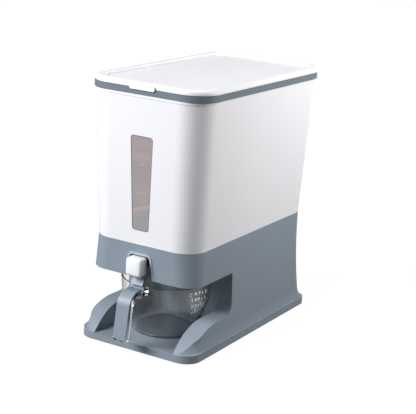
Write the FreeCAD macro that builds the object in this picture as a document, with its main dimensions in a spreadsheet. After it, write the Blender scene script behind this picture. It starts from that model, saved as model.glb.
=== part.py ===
"""Countertop rice dispenser, built as a parametric FreeCAD document.

Frame: +Z up, the front (button, window, cup handle) faces -Y, origin at the bottom centre of the
whole object's box.  Millimetres throughout.  Every driving size is a cell of the Sizes sheet; every
expression below is worked out from those cells.
"""
import FreeCAD, Part
import math
import os
import Sketcher

SIZES = [
    # overall
    ("body_width", 188, "plinth, side to side"),
    ("body_depth", 358, "lid tab to lid back"),
    ("total_height", 373, "floor to lid top"),
    # general fits
    ("face_gap", 0.3, "between faces of pieces that meet"),
    ("slip_gap", 0.4, "between a plugged-in piece and its socket"),
    ("seat_gap", 0.15, "between pieces that are bonded face to face"),
    ("pin_gap", 0.05, "radial, hinge pin to knuckle"),
    ("press_gap", 0.01, "radial, hinge pin to band"),
    ("past", 1, "cutters run this far past the face they cut"),
    ("deep", 4, "the same, where a form leans"),
    ("bite", 0.5, "overlap of forms that are fused into one piece"),
    # base shell
    ("base_wall", 2.6, "wall of the base moulding"),
    ("ground_gap", 0.8, "plinth edge above the floor"),
    ("plinth_height", 13, "top of the plinth band"),
    ("plinth_front_inset", 10.6, "plinth front behind the lid tab"),
    ("plinth_back_inset", 1.5, "plinth back inside the lid back"),
    ("plinth_step", 0.8, "plinth proud of the sweep's foot"),
    ("plinth_front_corner", 24, "plan radius"),
    ("plinth_back_corner", 16, "plan radius"),
    ("wall_sink", 3, "wall's foot below the plinth's top"),
    ("plinth_edge_round", 1, "upper edge of the plinth"),
    ("foot_inset", 4, "upright wall's foot inside the plinth, sides and back"),
    ("foot_front_inset", 2.6, "upright wall's foot behind the plinth's front"),
    ("flare_mid", 16.5, "middle of the sweep from the plinth to the wall, above the floor"),
    ("flare_mid_side", 2.9, "side at that level"),
    ("flare_mid_front", 12.6, "front at that level"),
    ("flare_mid_back", 5.4, "back at that level"),
    ("flare_mid_front_corner", 28, "plan radius at that level"),
    ("flare_mid_back_corner", 19, "plan radius at that level"),
    ("flare_top", 28, "top of that sweep, where it runs into the wall"),
    ("flare_top_side", 4.75, "side at that level"),
    ("flare_top_front", 15.2, "front at that level"),
    ("flare_top_back", 8.75, "back at that level"),
    ("flare_top_front_corner", 31, "plan radius at that level"),
    ("flare_top_back_corner", 22.5, "plan radius at that level"),
    ("wall_corner", 32, "plan radius of the wall's front corners at the plinth"),
    ("waist_height", 84, "narrowest level of the back wall"),
    ("waist_side_inset", 6.8, "base side wall at the waist"),
    ("waist_back_inset", 12.9, "base back wall at the waist"),
    ("waist_front_inset", 17.6, "base front at the waist"),
    ("head_height", 47.3, "bay ceiling to the joint between base and bin"),
    ("seam_side_inset", 10.5, "base side wall at the seam"),
    ("seam_back_inset", 7.8, "base back wall at the seam"),
    ("seam_front_inset", 15.5, "base front wall at the seam"),
    ("seam_corner", 34, "plan radius at the seam"),
    ("waist_corner", 29, "plan radius at the waist"),
    # cup bay
    ("bay_side_play", 0.3, "cup's rim to the inner faces of the wings"),
    ("bay_rear_play", 4.3, "cup's rim to the bay's back wall"),
    ("bay_headroom", 14.7, "cup's rim to the underside of the head"),
    ("bay_floor", 11, "tray floor height"),
    ("bay_corner", 14, "plan radius at the bay's back"),
    ("side_edge_run", 33.5, "rear edge of the side opening behind the cup's axis"),
    ("side_edge_round", 16, "radius at the foot of that edge"),
    ("wing_height", 44, "top of the wing beside the tray"),
    ("wing_drop", 1.3, "fall of the wing top to the outside"),
    ("wing_outer_lean", 38.5, "front slope of the wing's outer edge"),
    ("wing_outer_round", 98, "radius of the outer edge's front curve"),
    ("wing_inner_lean", 29.5, "front slope of the wing's inner edge"),
    ("wing_inner_round", 84, "radius of the inner edge's front curve"),
    ("toe_overrun", 0.5, "wing slopes run on in front of the plinth"),
    ("wing_bury", 3, "wing form starts this far inside the bay's side"),
    # dispensing head
    ("button_lift", 18.75, "centre of the button above the bay's ceiling"),
    ("recess_half_width", 21.8, "button recess at its foot"),
    ("recess_top_half", 15.8, "button recess at its top"),
    ("recess_rise", 15.4, "top of the button recess above the button's centre"),
    ("recess_depth", 15, "button recess into the head"),
    ("recess_mouth", 6, "recess form starts this far in front of the head"),
    ("recess_foot", 12, "recess form starts this far under the bay's ceiling"),
    ("recess_taper", 8, "degrees, sides of the recess"),
    ("recess_round", 5, "upper corners of the recess"),
    ("button_width", 21.5, "front face"),
    ("button_tall", 20, "front face"),
    ("button_length", 17.5, "front face to rear rim"),
    ("button_taper", 6.5, "degrees, growing to the rear"),
    ("button_round", 3.2, "front edges"),
    ("button_wall", 2.2, "shell of the button"),
    ("button_travel", 12, "push stroke, which also opens the gate"),
    ("stem_width", 11, "push rod"),
    ("stem_tall", 8, "push rod"),
    ("stem_grip", 9, "push rod inside the button"),
    ("riser_plate", 4, "upright between the gate and the push rod"),
    ("button_boss_wall", 1.8, "wall of the button's socket"),
    # outlet and gate
    ("outlet_width", 50, "rice slot, side to side"),
    ("outlet_length", 11, "rice slot, front to back"),
    ("chute_wall", 2, "spout wall"),
    ("chute_flange", 9, "flange width around the spout"),
    ("chute_plate", 2, "flange thickness"),
    ("chute_drop", 4, "spout below the head"),
    ("track_plate", 2, "gate track floor"),
    ("track_half_width", 47, "gate track floor"),
    ("track_tail", 10, "gate track floor behind the spring posts"),
    ("gate_half_width", 30, "sliding plate"),
    ("gate_plate", 2.5, "sliding plate thickness"),
    ("gate_front_run", 36, "plate in front of the outlet centre"),
    ("gate_rear_run", 26, "plate behind the outlet centre"),
    ("gate_play", 0.2, "above, below and beside the plate"),
    ("rail_width", 5, "side rails of the track"),
    ("rail_front_run", 33, "rails in front of the outlet centre"),
    ("rail_rear_run", 9, "rails behind the outlet centre"),
    ("cover_plate", 2.5, "upper cover of the gate"),
    ("cover_front_run", 21.5, "upper cover in front of the outlet centre"),
    ("ear_inner", 35, "spring ears of the gate"),
    ("ear_outer", 45, "spring ears of the gate"),
    ("ear_run", 12, "front face of the ears behind the outlet centre"),
    ("ear_plate", 4, "ear thickness"),
    ("ear_tall", 9, "ear height"),
    ("spring_length", 28, "fitted length at rest"),
    ("spring_radius", 3, "mean coil radius"),
    ("spring_wire", 0.45, "wire radius"),
    ("spring_turns", 7, "coils"),
    ("post_plate", 4, "spring post thickness"),
    ("guide_radius", 2, "spring guide pin"),
    ("guide_length", 14.5, "spring guide pin"),
    # hopper
    ("bin_wall", 2.4, "wall of the bin"),
    ("bin_top_side_inset", 3, "bin side at the top"),
    ("bin_top_front_inset", 3, "bin front at the top"),
    ("bin_top_back_inset", 2.5, "bin back at the top"),
    ("bin_top_corner", 37, "plan radius at the top"),
    ("bin_ledge", 2.6, "inner ledge at the seam"),
    ("spigot_length", 8, "bin collar inside the base"),
    ("spigot_ease", 2.4, "extra room around the collar, because the base's wall leans"),
    ("flange_plate", 3.3, "bin flange thickness"),
    ("flange_overhang", 0.8, "flange past the wall"),
    ("flange_inner_inset", 13, "flange inner edge from the band's face"),
    ("upstand_height", 5.5, "locating rib on the flange"),
    ("seat_height", 3, "base ledge under the bin collar"),
    ("seat_inner_inset", 13, "inner edge of that ledge from the wall"),
    ("funnel_rise", 53.7, "top of the funnel above the seam"),
    ("funnel_wall", 2, "wall of the funnel"),
    ("throat_length", 8, "straight part of the funnel"),
    ("throat_corner", 1, "plan radius of the rice slot in the funnel"),
    ("funnel_clear", 0.6, "funnel's inner form runs past its ends"),
    # window
    ("window_rise", 20.7, "lower edge above the seam"),
    ("window_tall", 129, "lower edge to upper edge"),
    ("window_bottom_width", 24.6, "lower edge"),
    ("window_top_width", 33.4, "upper edge"),
    ("window_round", 3.5, "corners"),
    ("seal_width", 0.9, "window seal"),
    ("pane_sink", 0.3, "pane behind the bin's face"),
    ("seal_sink", 0.15, "seal behind the bin's face"),
    ("window_reach", 30, "window forms, front to back"),
    ("window_lead", 5, "window forms start this far in front of the lid tab"),
    ("layer_margin", 12, "wall layer past the window's ends"),
    # rim band and lid
    ("band_side_inset", 0, "band side inside the plinth side"),
    ("band_front_inset", 2, "band front behind the lid tab"),
    ("band_height", 8.7, "band"),
    ("band_corner", 38, "plan radius"),
    ("band_width", 10, "band ring"),
    ("band_skin", 2.6, "sides of the band's groove"),
    ("groove_height", 6, "band groove"),
    ("hinge_side_inset", 19, "ends of the band's solid rear stretch from the side"),
    ("groove_stop", 19, "the band's groove stops this far from its back"),
    ("upstand_stop", 20, "the bin's rib stops this far from the band's back"),
    ("lid_gap", 0.5, "shadow gap over the band"),
    ("lid_rise", 7, "lid, side height"),
    ("lid_edge_inset", 0.3, "lid inside the band at the sides and front"),
    ("lid_back_inset", 0.2, "lid inside the band's back"),
    ("lid_round", 5.5, "upper edge of the lid"),
    ("lid_corner", 38, "plan radius"),
    ("panel_inset", 11.5, "recessed lid panel from the lid's side"),
    ("panel_depth", 3.8, "recess of the lid panel"),
    ("panel_corner", 27, "plan radius"),
    ("panel_round", 1.2, "foot of the panel's edge"),
    ("skirt_height", 6, "lid skirt"),
    ("skirt_gap", 0.8, "skirt to band at the sides and front"),
    ("skirt_rear_gap", 2.4, "skirt to band at the hinge side"),
    ("skirt_wall", 2, "lid skirt"),
    ("gasket_width", 3, "lid gasket"),
    ("tab_width", 39, "finger tab"),
    ("tab_height", 7, "finger tab"),
    ("tab_drop", 2, "finger tab below the band's top"),
    ("tab_round", 2.5, "finger tab's corners"),
    ("tab_root", 3, "finger tab inside the lid"),
    ("tab_clear", 0.25, "finger tab in front of the band"),
    ("hinge_inset", 4.2, "hinge axis from the lid's back"),
    ("hinge_drop", 5, "hinge axis below the band's top"),
    ("knuckle_radius", 3.2, "lid knuckles"),
    ("knuckle_length", 25.4, "lid knuckles"),
    ("knuckle_inset", 27, "knuckle centres from the ends of the solid stretch"),
    ("knuckle_bore_run", 4, "knuckle bore's cutter past its ends"),
    ("notch_depth", 8.2, "hinge notch in the band"),
    ("hinge_pin_radius", 1.5, "hinge pins"),
    ("hinge_pin_length", 42, "hinge pins"),
    # underside
    ("cover_sheet", 2.6, "bottom cover"),
    ("cover_lift", 1.6, "bottom cover above the floor"),
    ("foot_radius", 9, "rubber feet"),
    ("foot_socket", 1.2, "feet inside the cover"),
    ("foot_side_inset", 28, "feet from the plinth's side"),
    ("foot_end_inset", 40, "feet from the plinth's ends"),
    # screws
    ("screw_shank", 1.5, "shank radius"),
    ("screw_head", 2.8, "head radius"),
    ("screw_head_tall", 1.6, "head height"),
    ("screw_clear", 1.7, "clearance hole radius"),
    ("boss_radius", 4.5, "screw bosses"),
    ("cover_screw_length", 9, "bottom cover screws"),
    ("cover_boss_tall", 26, "bottom cover bosses"),
    ("cover_boss_inset", 11.5, "bottom cover bosses from the plinth's side"),
    ("cover_row_front", 80, "front row of them behind the lid tab"),
    ("cover_row_back", 45, "back row of them in front of the lid's back"),
    ("bin_screw_length", 10, "bin screws"),
    ("bin_screw_inset", 8, "bin screws from the base's wall at the seam"),
    ("bin_row_front", 80, "front row of them behind the lid tab"),
    ("bin_row_back", 54, "back row of them in front of the lid's back"),
    ("gate_screw_length", 5.5, "gate screws"),
    ("gate_screw_side", 41, "gate screws from the middle"),
    ("gate_screw_inset", 5, "gate screws from the ends of the track"),
    # cup
    ("cup_setback", 90, "lid tab to the cup's axis"),
    ("cup_height", 78, "cup, floor to rim"),
    ("handle_out", 50.8, "cup handle in front of the cup's rim"),
    ("cup_rim_radius", 64.2, "outside"),
    ("cup_shoulder_radius", 61.3, "outside, at the shoulder"),
    ("cup_shoulder", 46, "shoulder above the cup's foot"),
    ("cup_foot_radius", 45, "outside"),
    ("cup_foot_round", 3.5, "foot edge"),
    ("cup_shoulder_round", 40, "shoulder blend"),
    ("cup_wall", 2, "cup wall"),
    ("slot_width", 2.4, "drain slots"),
    ("slot_tall", 5.4, "drain slots"),
    ("slot_rows", 4, "drain slots"),
    ("slot_columns", 7, "drain slots"),
    ("slot_row_pitch", 9.2, "drain slots"),
    ("slot_step", 7, "degrees between slots in the top row"),
    ("slot_fan", 0.3, "share of that step lost in the bottom row"),
    ("slot_turn", -4, "degrees, middle of the slots from +X"),
    ("slot_low", 41.5, "lowest slot centre above the cup's foot"),
    ("slot_reach_in", 8, "slot cutter inside the cup's shoulder"),
    ("slot_reach_out", 4, "slot cutter outside the cup's shoulder"),
    # cup handle
    ("handle_width", 24.6, "clear handle frame"),
    ("handle_depth", 5, "clear handle frame, front to back"),
    ("handle_arm", 8, "clear handle frame, top arm"),
    ("handle_top", 79.6, "arm's upper face above the cup's foot"),
    ("handle_low", 12, "lower tip above the cup's foot"),
    ("handle_lean", 9, "top of the grip behind its foot"),
    ("handle_bend", 21, "outer bend radius"),
    ("handle_tip_round", 6, "lower tip of the clear frame"),
    ("handle_edge_round", 1.3, "long edges of the clear frame"),
    ("strap_width", 20, "grip cover"),
    ("strap_plate", 2.6, "grip cover thickness"),
    ("strap_lift", 3.6, "grip cover above the clear frame's tip"),
    ("strap_stop", 3, "grip cover's arm ends this far in front of the thumb rest"),
    ("strap_tip_round", 7, "lower tip of the grip cover"),
    ("rest_width", 18.5, "thumb rest"),
    ("rest_low", 84.2, "lower lip of the thumb rest above the cup's foot"),
    ("rest_high", 91.7, "upper edge of the thumb rest above the cup's foot"),
    ("rest_nose", 13.8, "lower lip in front of the cup's rim"),
    ("rest_crown", 8.8, "upper edge in front of the cup's rim"),
    ("rest_plate", 2.6, "thumb rest"),
    ("rest_foot", 3.6, "foot of the thumb rest, front to back"),
    ("rest_round", 1, "upper edges of the thumb rest"),
]


# ---------------------------------------------------------------- document and expressions

doc = FreeCAD.newDocument("rice_dispenser")
nodes = []
NEAR = 0.01


def make_sheet():
    sheet = doc.addObject("Spreadsheet::Sheet", "Sizes")
    for row, (alias, number, note) in enumerate(SIZES, 1):
        sheet.set(f"A{row}", alias)
        sheet.set(f"B{row}", str(number))
        sheet.set(f"C{row}", note)
        sheet.setAlias(f"B{row}", alias)
    doc.recompute()
    return sheet


sheet = make_sheet()


class Cells:
    """S.name is the text 'Sizes.name', so that expressions read like sums."""

    def __getattr__(self, alias):
        if alias.startswith("__"):
            raise AttributeError(alias)
        return f"Sizes.{alias}"


S = Cells()


def size(expression):
    """The number that an expression has now."""
    return float(sheet.evalExpression(str(expression).replace("Sizes.", "")))


def minus(expression):
    return f"-({expression})"


def between(low, high, share):
    return f"({low})+(({high})-({low}))*({share})"


HANDLE_REACH = f"({S.handle_out}+{S.cup_rim_radius}-{S.cup_setback})"
FRONT = f"({HANDLE_REACH}-{S.body_depth})/2"
BACK = f"({HANDLE_REACH}+{S.body_depth})/2"
HALF = f"{S.body_width}/2"
LID_LOW = f"({S.total_height}-{S.lid_rise})"
BAND_TOP = f"({LID_LOW}-{S.lid_gap})"
BAND_LOW = f"({BAND_TOP}-{S.band_height})"
BIN_TOP = f"({BAND_LOW}-{S.flange_plate})"
CUP_Y = f"({FRONT}+{S.cup_setback})"
REST_NOSE_Y = f"({CUP_Y}-{S.cup_rim_radius}-{S.rest_nose})"
NOSE = f"(-({S.body_depth}+{HANDLE_REACH})/2)"
CUP_FOOT = f"({S.bay_floor}+{S.face_gap})"
STRAP_LOW = f"({CUP_FOOT}+{S.handle_low}+{S.strap_lift})"
BAY_SIDE = f"({S.cup_rim_radius}+{S.bay_side_play})"
BAY_REAR = f"({CUP_Y}+{S.cup_rim_radius}+{S.bay_rear_play})"
CEILING = f"({CUP_FOOT}+{S.cup_height}+{S.bay_headroom})"
SEAM = f"({CEILING}+{S.head_height})"
WINDOW_LOW = f"({SEAM}+{S.window_rise})"
WINDOW_HIGH = f"({WINDOW_LOW}+{S.window_tall})"
FUNNEL_RIM = f"({SEAM}+{S.funnel_rise})"
BUTTON_Z = f"({CEILING}+{S.button_lift})"
RECESS_TOP = f"({BUTTON_Z}+{S.recess_rise})"
HEAD_DECK = f"({CEILING}+{S.base_wall})"
TRACK_LOW = f"({HEAD_DECK}+{S.chute_plate})"
GATE_LOW = f"({TRACK_LOW}+{S.track_plate}+{S.gate_play})"
RAIL_TOP = f"({GATE_LOW}+{S.gate_plate}+{S.gate_play})"
COVER_TOP = f"({RAIL_TOP}+{S.cover_plate})"
THROAT_LOW = f"({COVER_TOP}+{S.face_gap})"
HINGE_Y = f"({BACK}-{S.hinge_inset})"
HINGE_Z = f"({BAND_TOP}-{S.hinge_drop})"
HINGE_SIDE = f"({HALF}-{S.hinge_side_inset})"
KNUCKLE_X = f"({HINGE_SIDE}-{S.knuckle_inset})"
BUTTON_BACK = f"({FRONT}+{S.button_length})"
RECESS_BACK = f"({FRONT}+{S.seam_front_inset}+{S.recess_depth})"
GATE_SLOT_Y = f"({CUP_Y}-{S.button_travel})"
TRACK_FRONT = f"({CUP_Y}-{S.rail_front_run})"
POST_FRONT = f"({CUP_Y}+{S.ear_run}+{S.ear_plate}+{S.spring_length})"
TRACK_BACK = f"({POST_FRONT}+{S.post_plate}+{S.track_tail})"
SPRING_Z = f"({GATE_LOW}+{S.ear_tall}/2)"
SEAT_LOW = f"({SEAM}-{S.spigot_length}-{S.face_gap}-{S.seat_height})"


# ---------------------------------------------------------------- sketches

def plane_of(body, role):
    return [item for item in body.Origin.OriginFeatures if item.Role == role][0]


def corner_points(corners):
    """Where each corner of an outline starts and ends, as numbers: equal ends are a sharp corner."""
    spots = [FreeCAD.Vector(size(u), size(v), 0) for u, v, _ in corners]
    found = []
    for index, (_, _, radius) in enumerate(corners):
        here = spots[index]
        back = (spots[index - 1] - here).normalize()
        ahead = (spots[(index + 1) % len(spots)] - here).normalize()
        if radius is None:
            found.append((here, here, None))
            continue
        half_angle = back.getAngle(ahead) / 2
        run = size(radius) / math.tan(half_angle)
        middle = here + (back + ahead).normalize() * (size(radius) / math.sin(half_angle))
        found.append((here + back * run, here + ahead * run, middle))
    return spots, found


def pin_point(sketch, item, vertex, u, v, label):
    """Hold a point of the sketch at the expressions (u, v); zero means on the axis."""
    for kind, axis, text in (("DistanceX", -2, u), ("DistanceY", -1, v)):
        if text == "0":
            sketch.addConstraint(Sketcher.Constraint("PointOnObject", item, vertex, axis))
            continue
        index = sketch.addConstraint(Sketcher.Constraint(kind, -1, 1, item, vertex, size(text)))
        name = f"{label}_{'across' if kind == 'DistanceX' else 'up'}"
        sketch.renameConstraint(index, name)
        sketch.setExpression(f"Constraints.{name}", text)


def add_rounding(sketch, before, after, corner, ends, label):
    """An arc tangent to the lines before and after, about a held construction corner."""
    start, end, middle = ends
    u, v, radius = corner
    spread = (start - middle).Length
    turn_left = (start - middle).cross(end - middle).z > 0
    first = math.atan2((start - middle).y, (start - middle).x)
    last = math.atan2((end - middle).y, (end - middle).x)
    circle = Part.Circle(middle, FreeCAD.Vector(0, 0, 1), spread)
    arc = Part.ArcOfCircle(circle, first, last) if turn_left else Part.ArcOfCircle(circle, last, first)
    item = sketch.addGeometry(arc, False)
    arc_start, arc_end = (1, 2) if turn_left else (2, 1)
    sketch.addConstraint(Sketcher.Constraint("Tangent", before, 2, item, arc_start))
    sketch.addConstraint(Sketcher.Constraint("Tangent", item, arc_end, after, 1))
    index = sketch.addConstraint(Sketcher.Constraint("Radius", item, spread))
    sketch.renameConstraint(index, f"{label}_round")
    sketch.setExpression(f"Constraints.{label}_round", radius)
    spot = sketch.addGeometry(Part.Point(FreeCAD.Vector(size(u), size(v), 0)), True)
    sketch.addConstraint(Sketcher.Constraint("PointOnObject", spot, 1, before))
    sketch.addConstraint(Sketcher.Constraint("PointOnObject", spot, 1, after))
    pin_point(sketch, spot, 1, u, v, label)


def outline(body, name, role, offset, corners):
    """A closed outline on an origin plane; each corner is (across, up, radius or None)."""
    sketch = body.newObject("Sketcher::SketchObject", name)
    sketch.AttachmentSupport = (plane_of(body, role), "")
    sketch.MapMode = "FlatFace"
    sketch.setExpression("AttachmentOffset.Base.z", minus(offset) if role == "XZ_Plane" else offset)
    spots, ends = corner_points(corners)
    count = len(corners)
    lines = []
    for index in range(count):
        begin = ends[index][1]
        finish = ends[(index + 1) % count][0]
        lines.append(sketch.addGeometry(Part.LineSegment(begin, finish), False))
    for index, corner in enumerate(corners):
        before, after = lines[index - 1], lines[index]
        label = f"corner{index}"
        if corner[2] is None:
            sketch.addConstraint(Sketcher.Constraint("Coincident", before, 2, after, 1))
            pin_point(sketch, after, 1, corner[0], corner[1], label)
        else:
            add_rounding(sketch, before, after, corner, ends[index], label)
    return sketch


def plan(body, name, height, side, front, back, front_corner, back_corner=None):
    """A rounded rectangle seen from above, symmetrical side to side."""
    rear = back_corner or front_corner
    corners = [
        (minus(side), front, front_corner),
        (side, front, front_corner),
        (side, back, rear),
        (minus(side), back, rear),
    ]
    return outline(body, name, "XY_Plane", height, corners)


# ---------------------------------------------------------------- features

def new_body(name):
    return doc.addObject("PartDesign::Body", name)


def pad(body, sketch, length, taper=None, both_ways=False, backwards=False):
    feature = body.newObject("PartDesign::Pad", f"{sketch.Name}_pad")
    feature.Profile = sketch
    feature.setExpression("Length", length)
    feature.Midplane = both_ways
    feature.Reversed = backwards
    if taper:
        feature.setExpression("TaperAngle", taper)
    return feature


def pocket(body, sketch, length, backwards=False):
    feature = body.newObject("PartDesign::Pocket", f"{sketch.Name}_pocket")
    feature.Profile = sketch
    feature.setExpression("Length", length)
    feature.Reversed = backwards
    return feature


def loft(body, sketches, ruled=False, kind="Additive"):
    feature = body.newObject(f"PartDesign::{kind}Loft", f"{sketches[0].Name}_loft")
    feature.Profile = sketches[0]
    feature.Sections = sketches[1:]
    feature.Ruled = ruled
    return feature


def edges_where(feature, test):
    """Names of the feature's edges whose end points and middle all pass the test."""
    doc.recompute()
    chosen = []
    for index, edge in enumerate(feature.Shape.Edges, 1):
        middle = edge.valueAt((edge.FirstParameter + edge.LastParameter) / 2)
        places = [vertex.Point for vertex in edge.Vertexes] + [middle]
        if all(test(place) for place in places):
            chosen.append(f"Edge{index}")
    return chosen


def round_edges(body, feature, radius, test):
    rounded = body.newObject("PartDesign::Fillet", f"{feature.Name}_round")
    rounded.Base = (feature, edges_where(feature, test))
    rounded.setExpression("Radius", radius)
    doc.recompute()
    return rounded


def box(name, x_low, x_high, y_low, y_high, z_low, z_high):
    item = doc.addObject("Part::Box", name)
    item.setExpression("Length", f"({x_high})-({x_low})")
    item.setExpression("Width", f"({y_high})-({y_low})")
    item.setExpression("Height", f"({z_high})-({z_low})")
    item.setExpression("Placement.Base.x", x_low)
    item.setExpression("Placement.Base.y", y_low)
    item.setExpression("Placement.Base.z", z_low)
    return item


DIRECTIONS = {
    "x": FreeCAD.Rotation(FreeCAD.Vector(0, 1, 0), 90),
    "y": FreeCAD.Rotation(FreeCAD.Vector(1, 0, 0), -90),
    "z": FreeCAD.Rotation(),
}


def rod(name, radius, length, x, y, z, along="z"):
    item = doc.addObject("Part::Cylinder", name)
    item.Placement = FreeCAD.Placement(FreeCAD.Vector(), DIRECTIONS[along])
    item.setExpression("Radius", radius)
    item.setExpression("Height", length)
    item.setExpression("Placement.Base.x", x)
    item.setExpression("Placement.Base.y", y)
    item.setExpression("Placement.Base.z", z)
    return item


def cut(name, base, *tools):
    item = doc.addObject("Part::Cut", name)
    item.Base = base
    item.Tool = tools[0] if len(tools) == 1 else fuse(f"{name}_tools", *tools)
    return item


def fuse(name, *pieces):
    item = doc.addObject("Part::MultiFuse", name)
    item.Shapes = list(pieces)
    return item


def common(name, *pieces):
    item = doc.addObject("Part::MultiCommon", name)
    item.Shapes = list(pieces)
    return item


def group(name, pieces):
    item = doc.addObject("Part::Compound", name)
    item.Links = list(pieces)
    return item


def keep(item, label):
    """Mark a finished sub-part: its label names its file."""
    item.Label = label
    nodes.append(item)
    return item


# ---------------------------------------------------------------- base

def base_sections(body, inset, top, bottom):
    """Plan outlines of the base wall from the plinth up, moved inwards by inset."""
    low_side = f"{HALF}-{S.foot_inset}-({inset})"
    low_front = f"{FRONT}+{S.plinth_front_inset}+{S.foot_front_inset}+({inset})"
    low_back = f"{BACK}-{S.plinth_back_inset}-{S.foot_inset}-({inset})"
    waist = (
        f"{HALF}-{S.waist_side_inset}-({inset})",
        f"{FRONT}+{S.waist_front_inset}+({inset})",
        f"{BACK}-{S.waist_back_inset}-({inset})",
    )
    seam = (
        f"{HALF}-{S.seam_side_inset}-({inset})",
        f"{FRONT}+{S.seam_front_inset}+({inset})",
        f"{BACK}-{S.seam_back_inset}-({inset})",
    )
    return [
        plan(body, f"{body.Name}_low", bottom, low_side, low_front, low_back,
             f"{S.wall_corner}-({inset})", f"{S.plinth_back_corner}+{S.foot_inset}-({inset})"),
        plan(body, f"{body.Name}_waist", S.waist_height, *waist, f"{S.waist_corner}-({inset})"),
        plan(body, f"{body.Name}_seam", top, *seam, f"{S.seam_corner}-({inset})"),
    ]


def base_solid(name, inset, top, bottom):
    body = new_body(name)
    loft(body, base_sections(body, inset, top, bottom))
    return body


def flare_solid(name, inset, low):
    """Foot of the wall, which sweeps out to the plinth's edge."""
    body = new_body(name)
    edge = f"{S.plinth_step}+({inset})"
    levels = (
        (low, edge, f"{S.plinth_front_inset}+{edge}", f"{S.plinth_back_inset}+{edge}",
         f"{S.plinth_front_corner}-({inset})", f"{S.plinth_back_corner}-({inset})"),
        (S.flare_mid, f"{S.flare_mid_side}+({inset})", f"{S.flare_mid_front}+({inset})",
         f"{S.flare_mid_back}+({inset})", f"{S.flare_mid_front_corner}-({inset})",
         f"{S.flare_mid_back_corner}-({inset})"),
        (S.flare_top, f"{S.flare_top_side}+({inset})", f"{S.flare_top_front}+({inset})",
         f"{S.flare_top_back}+({inset})", f"{S.flare_top_front_corner}-({inset})",
         f"{S.flare_top_back_corner}-({inset})"),
    )
    loft(body, [plan(body, f"{name}_{index}", level, f"{HALF}-({side})", f"{FRONT}+({front})",
                     f"{BACK}-({back})", front_corner, back_corner)
                for index, (level, side, front, back, front_corner, back_corner) in enumerate(levels)])
    return body


def plinth_solid(name, inset, low, high, rounded):
    body = new_body(name)
    sketch = plan(body, f"{name}_plan", low, f"{HALF}-({inset})", f"{FRONT}+{S.plinth_front_inset}+({inset})",
                  f"{BACK}-{S.plinth_back_inset}-({inset})", f"{S.plinth_front_corner}-({inset})",
                  f"{S.plinth_back_corner}-({inset})")
    solid = pad(body, sketch, f"({high})-({low})")
    if rounded:
        top = size(high)
        round_edges(body, solid, S.plinth_edge_round, lambda place: abs(place.z - top) < NEAR)
    return body


def side_profile(body, name, offset, edge, grow):
    """Outline of the side opening seen from the side; edge is its (top, lean, round), grown by a margin."""
    top, lean, rounding = edge
    rear_y = f"({CUP_Y}+{S.side_edge_run}+({grow}))"
    toe_y = f"({FRONT}+{S.plinth_front_inset}-{S.toe_overrun})"
    slope_run = f"({S.toe_overrun}+{lean})"
    shift = f"({grow})*tan(atan(({top}-{S.bay_floor})/{slope_run})/2)"
    toe_z = f"({S.bay_floor}-({grow}))"
    floor_z = f"({top}-({grow}))"
    front_y = f"({NOSE}-{S.past})"
    corners = [
        (front_y, f"{CEILING}+({grow})", None),
        (front_y, toe_z, None),
        (f"{toe_y}+{shift}", toe_z, None),
        (f"{toe_y}+{slope_run}+{shift}", floor_z, f"{rounding}-({grow})"),
        (rear_y, floor_z, f"{S.side_edge_round}+({grow})"),
        (rear_y, f"{CEILING}+({grow})", None),
    ]
    return outline(body, name, "YZ_Plane", offset, corners)


def side_opening(name, side, grow):
    """Cutter for one side: its floor is the top of the wing."""
    body = new_body(name)
    inner_edge = (S.wing_height, S.wing_inner_lean, S.wing_inner_round)
    outer_edge = (f"({S.wing_height}-{S.wing_drop})", S.wing_outer_lean, S.wing_outer_round)
    near = side_profile(body, f"{name}_near", f"{side}*({BAY_SIDE}-{S.wing_bury})", inner_edge, grow)
    far = side_profile(body, f"{name}_far", f"{side}*({HALF}+{S.past})", outer_edge, grow)
    loft(body, [near, far], ruled=True)
    return body


def bay_cutter(name, grow):
    body = new_body(name)
    side = f"{BAY_SIDE}+({grow})"
    rear = f"{BAY_REAR}+({grow})"
    corners = [
        (minus(side), f"{NOSE}-{S.past}", None),
        (side, f"{NOSE}-{S.past}", None),
        (side, rear, f"{S.bay_corner}+({grow})"),
        (minus(side), rear, f"{S.bay_corner}+({grow})"),
    ]
    low = f"{S.bay_floor}-({grow})"
    sketch = outline(body, f"{name}_plan", "XY_Plane", low, corners)
    pad(body, sketch, f"{CEILING}-{S.bay_floor}+2*({grow})")
    return body


def recess_cutter(name, grow):
    """The arched pocket around the button, open at the head's lower edge."""
    body = new_body(name)
    mouth = f"{FRONT}+{S.seam_front_inset}-{S.recess_mouth}"
    widen = f"({grow}+{S.recess_mouth}*tan({S.recess_taper}))"
    foot = f"{CEILING}-{S.recess_foot}"
    corners = [
        (minus(f"{S.recess_half_width}+{widen}"), foot, None),
        (f"{S.recess_half_width}+{widen}", foot, None),
        (f"{S.recess_top_half}+{widen}", f"{RECESS_TOP}+{widen}", f"{S.recess_round}+{widen}"),
        (minus(f"{S.recess_top_half}+{widen}"), f"{RECESS_TOP}+{widen}", f"{S.recess_round}+{widen}"),
    ]
    sketch = outline(body, f"{name}_arch", "XZ_Plane", mouth, corners)
    run = f"{S.recess_depth}+{S.recess_mouth}+({grow})"
    pad(body, sketch, run, taper=minus(S.recess_taper), backwards=True)
    return body


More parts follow.
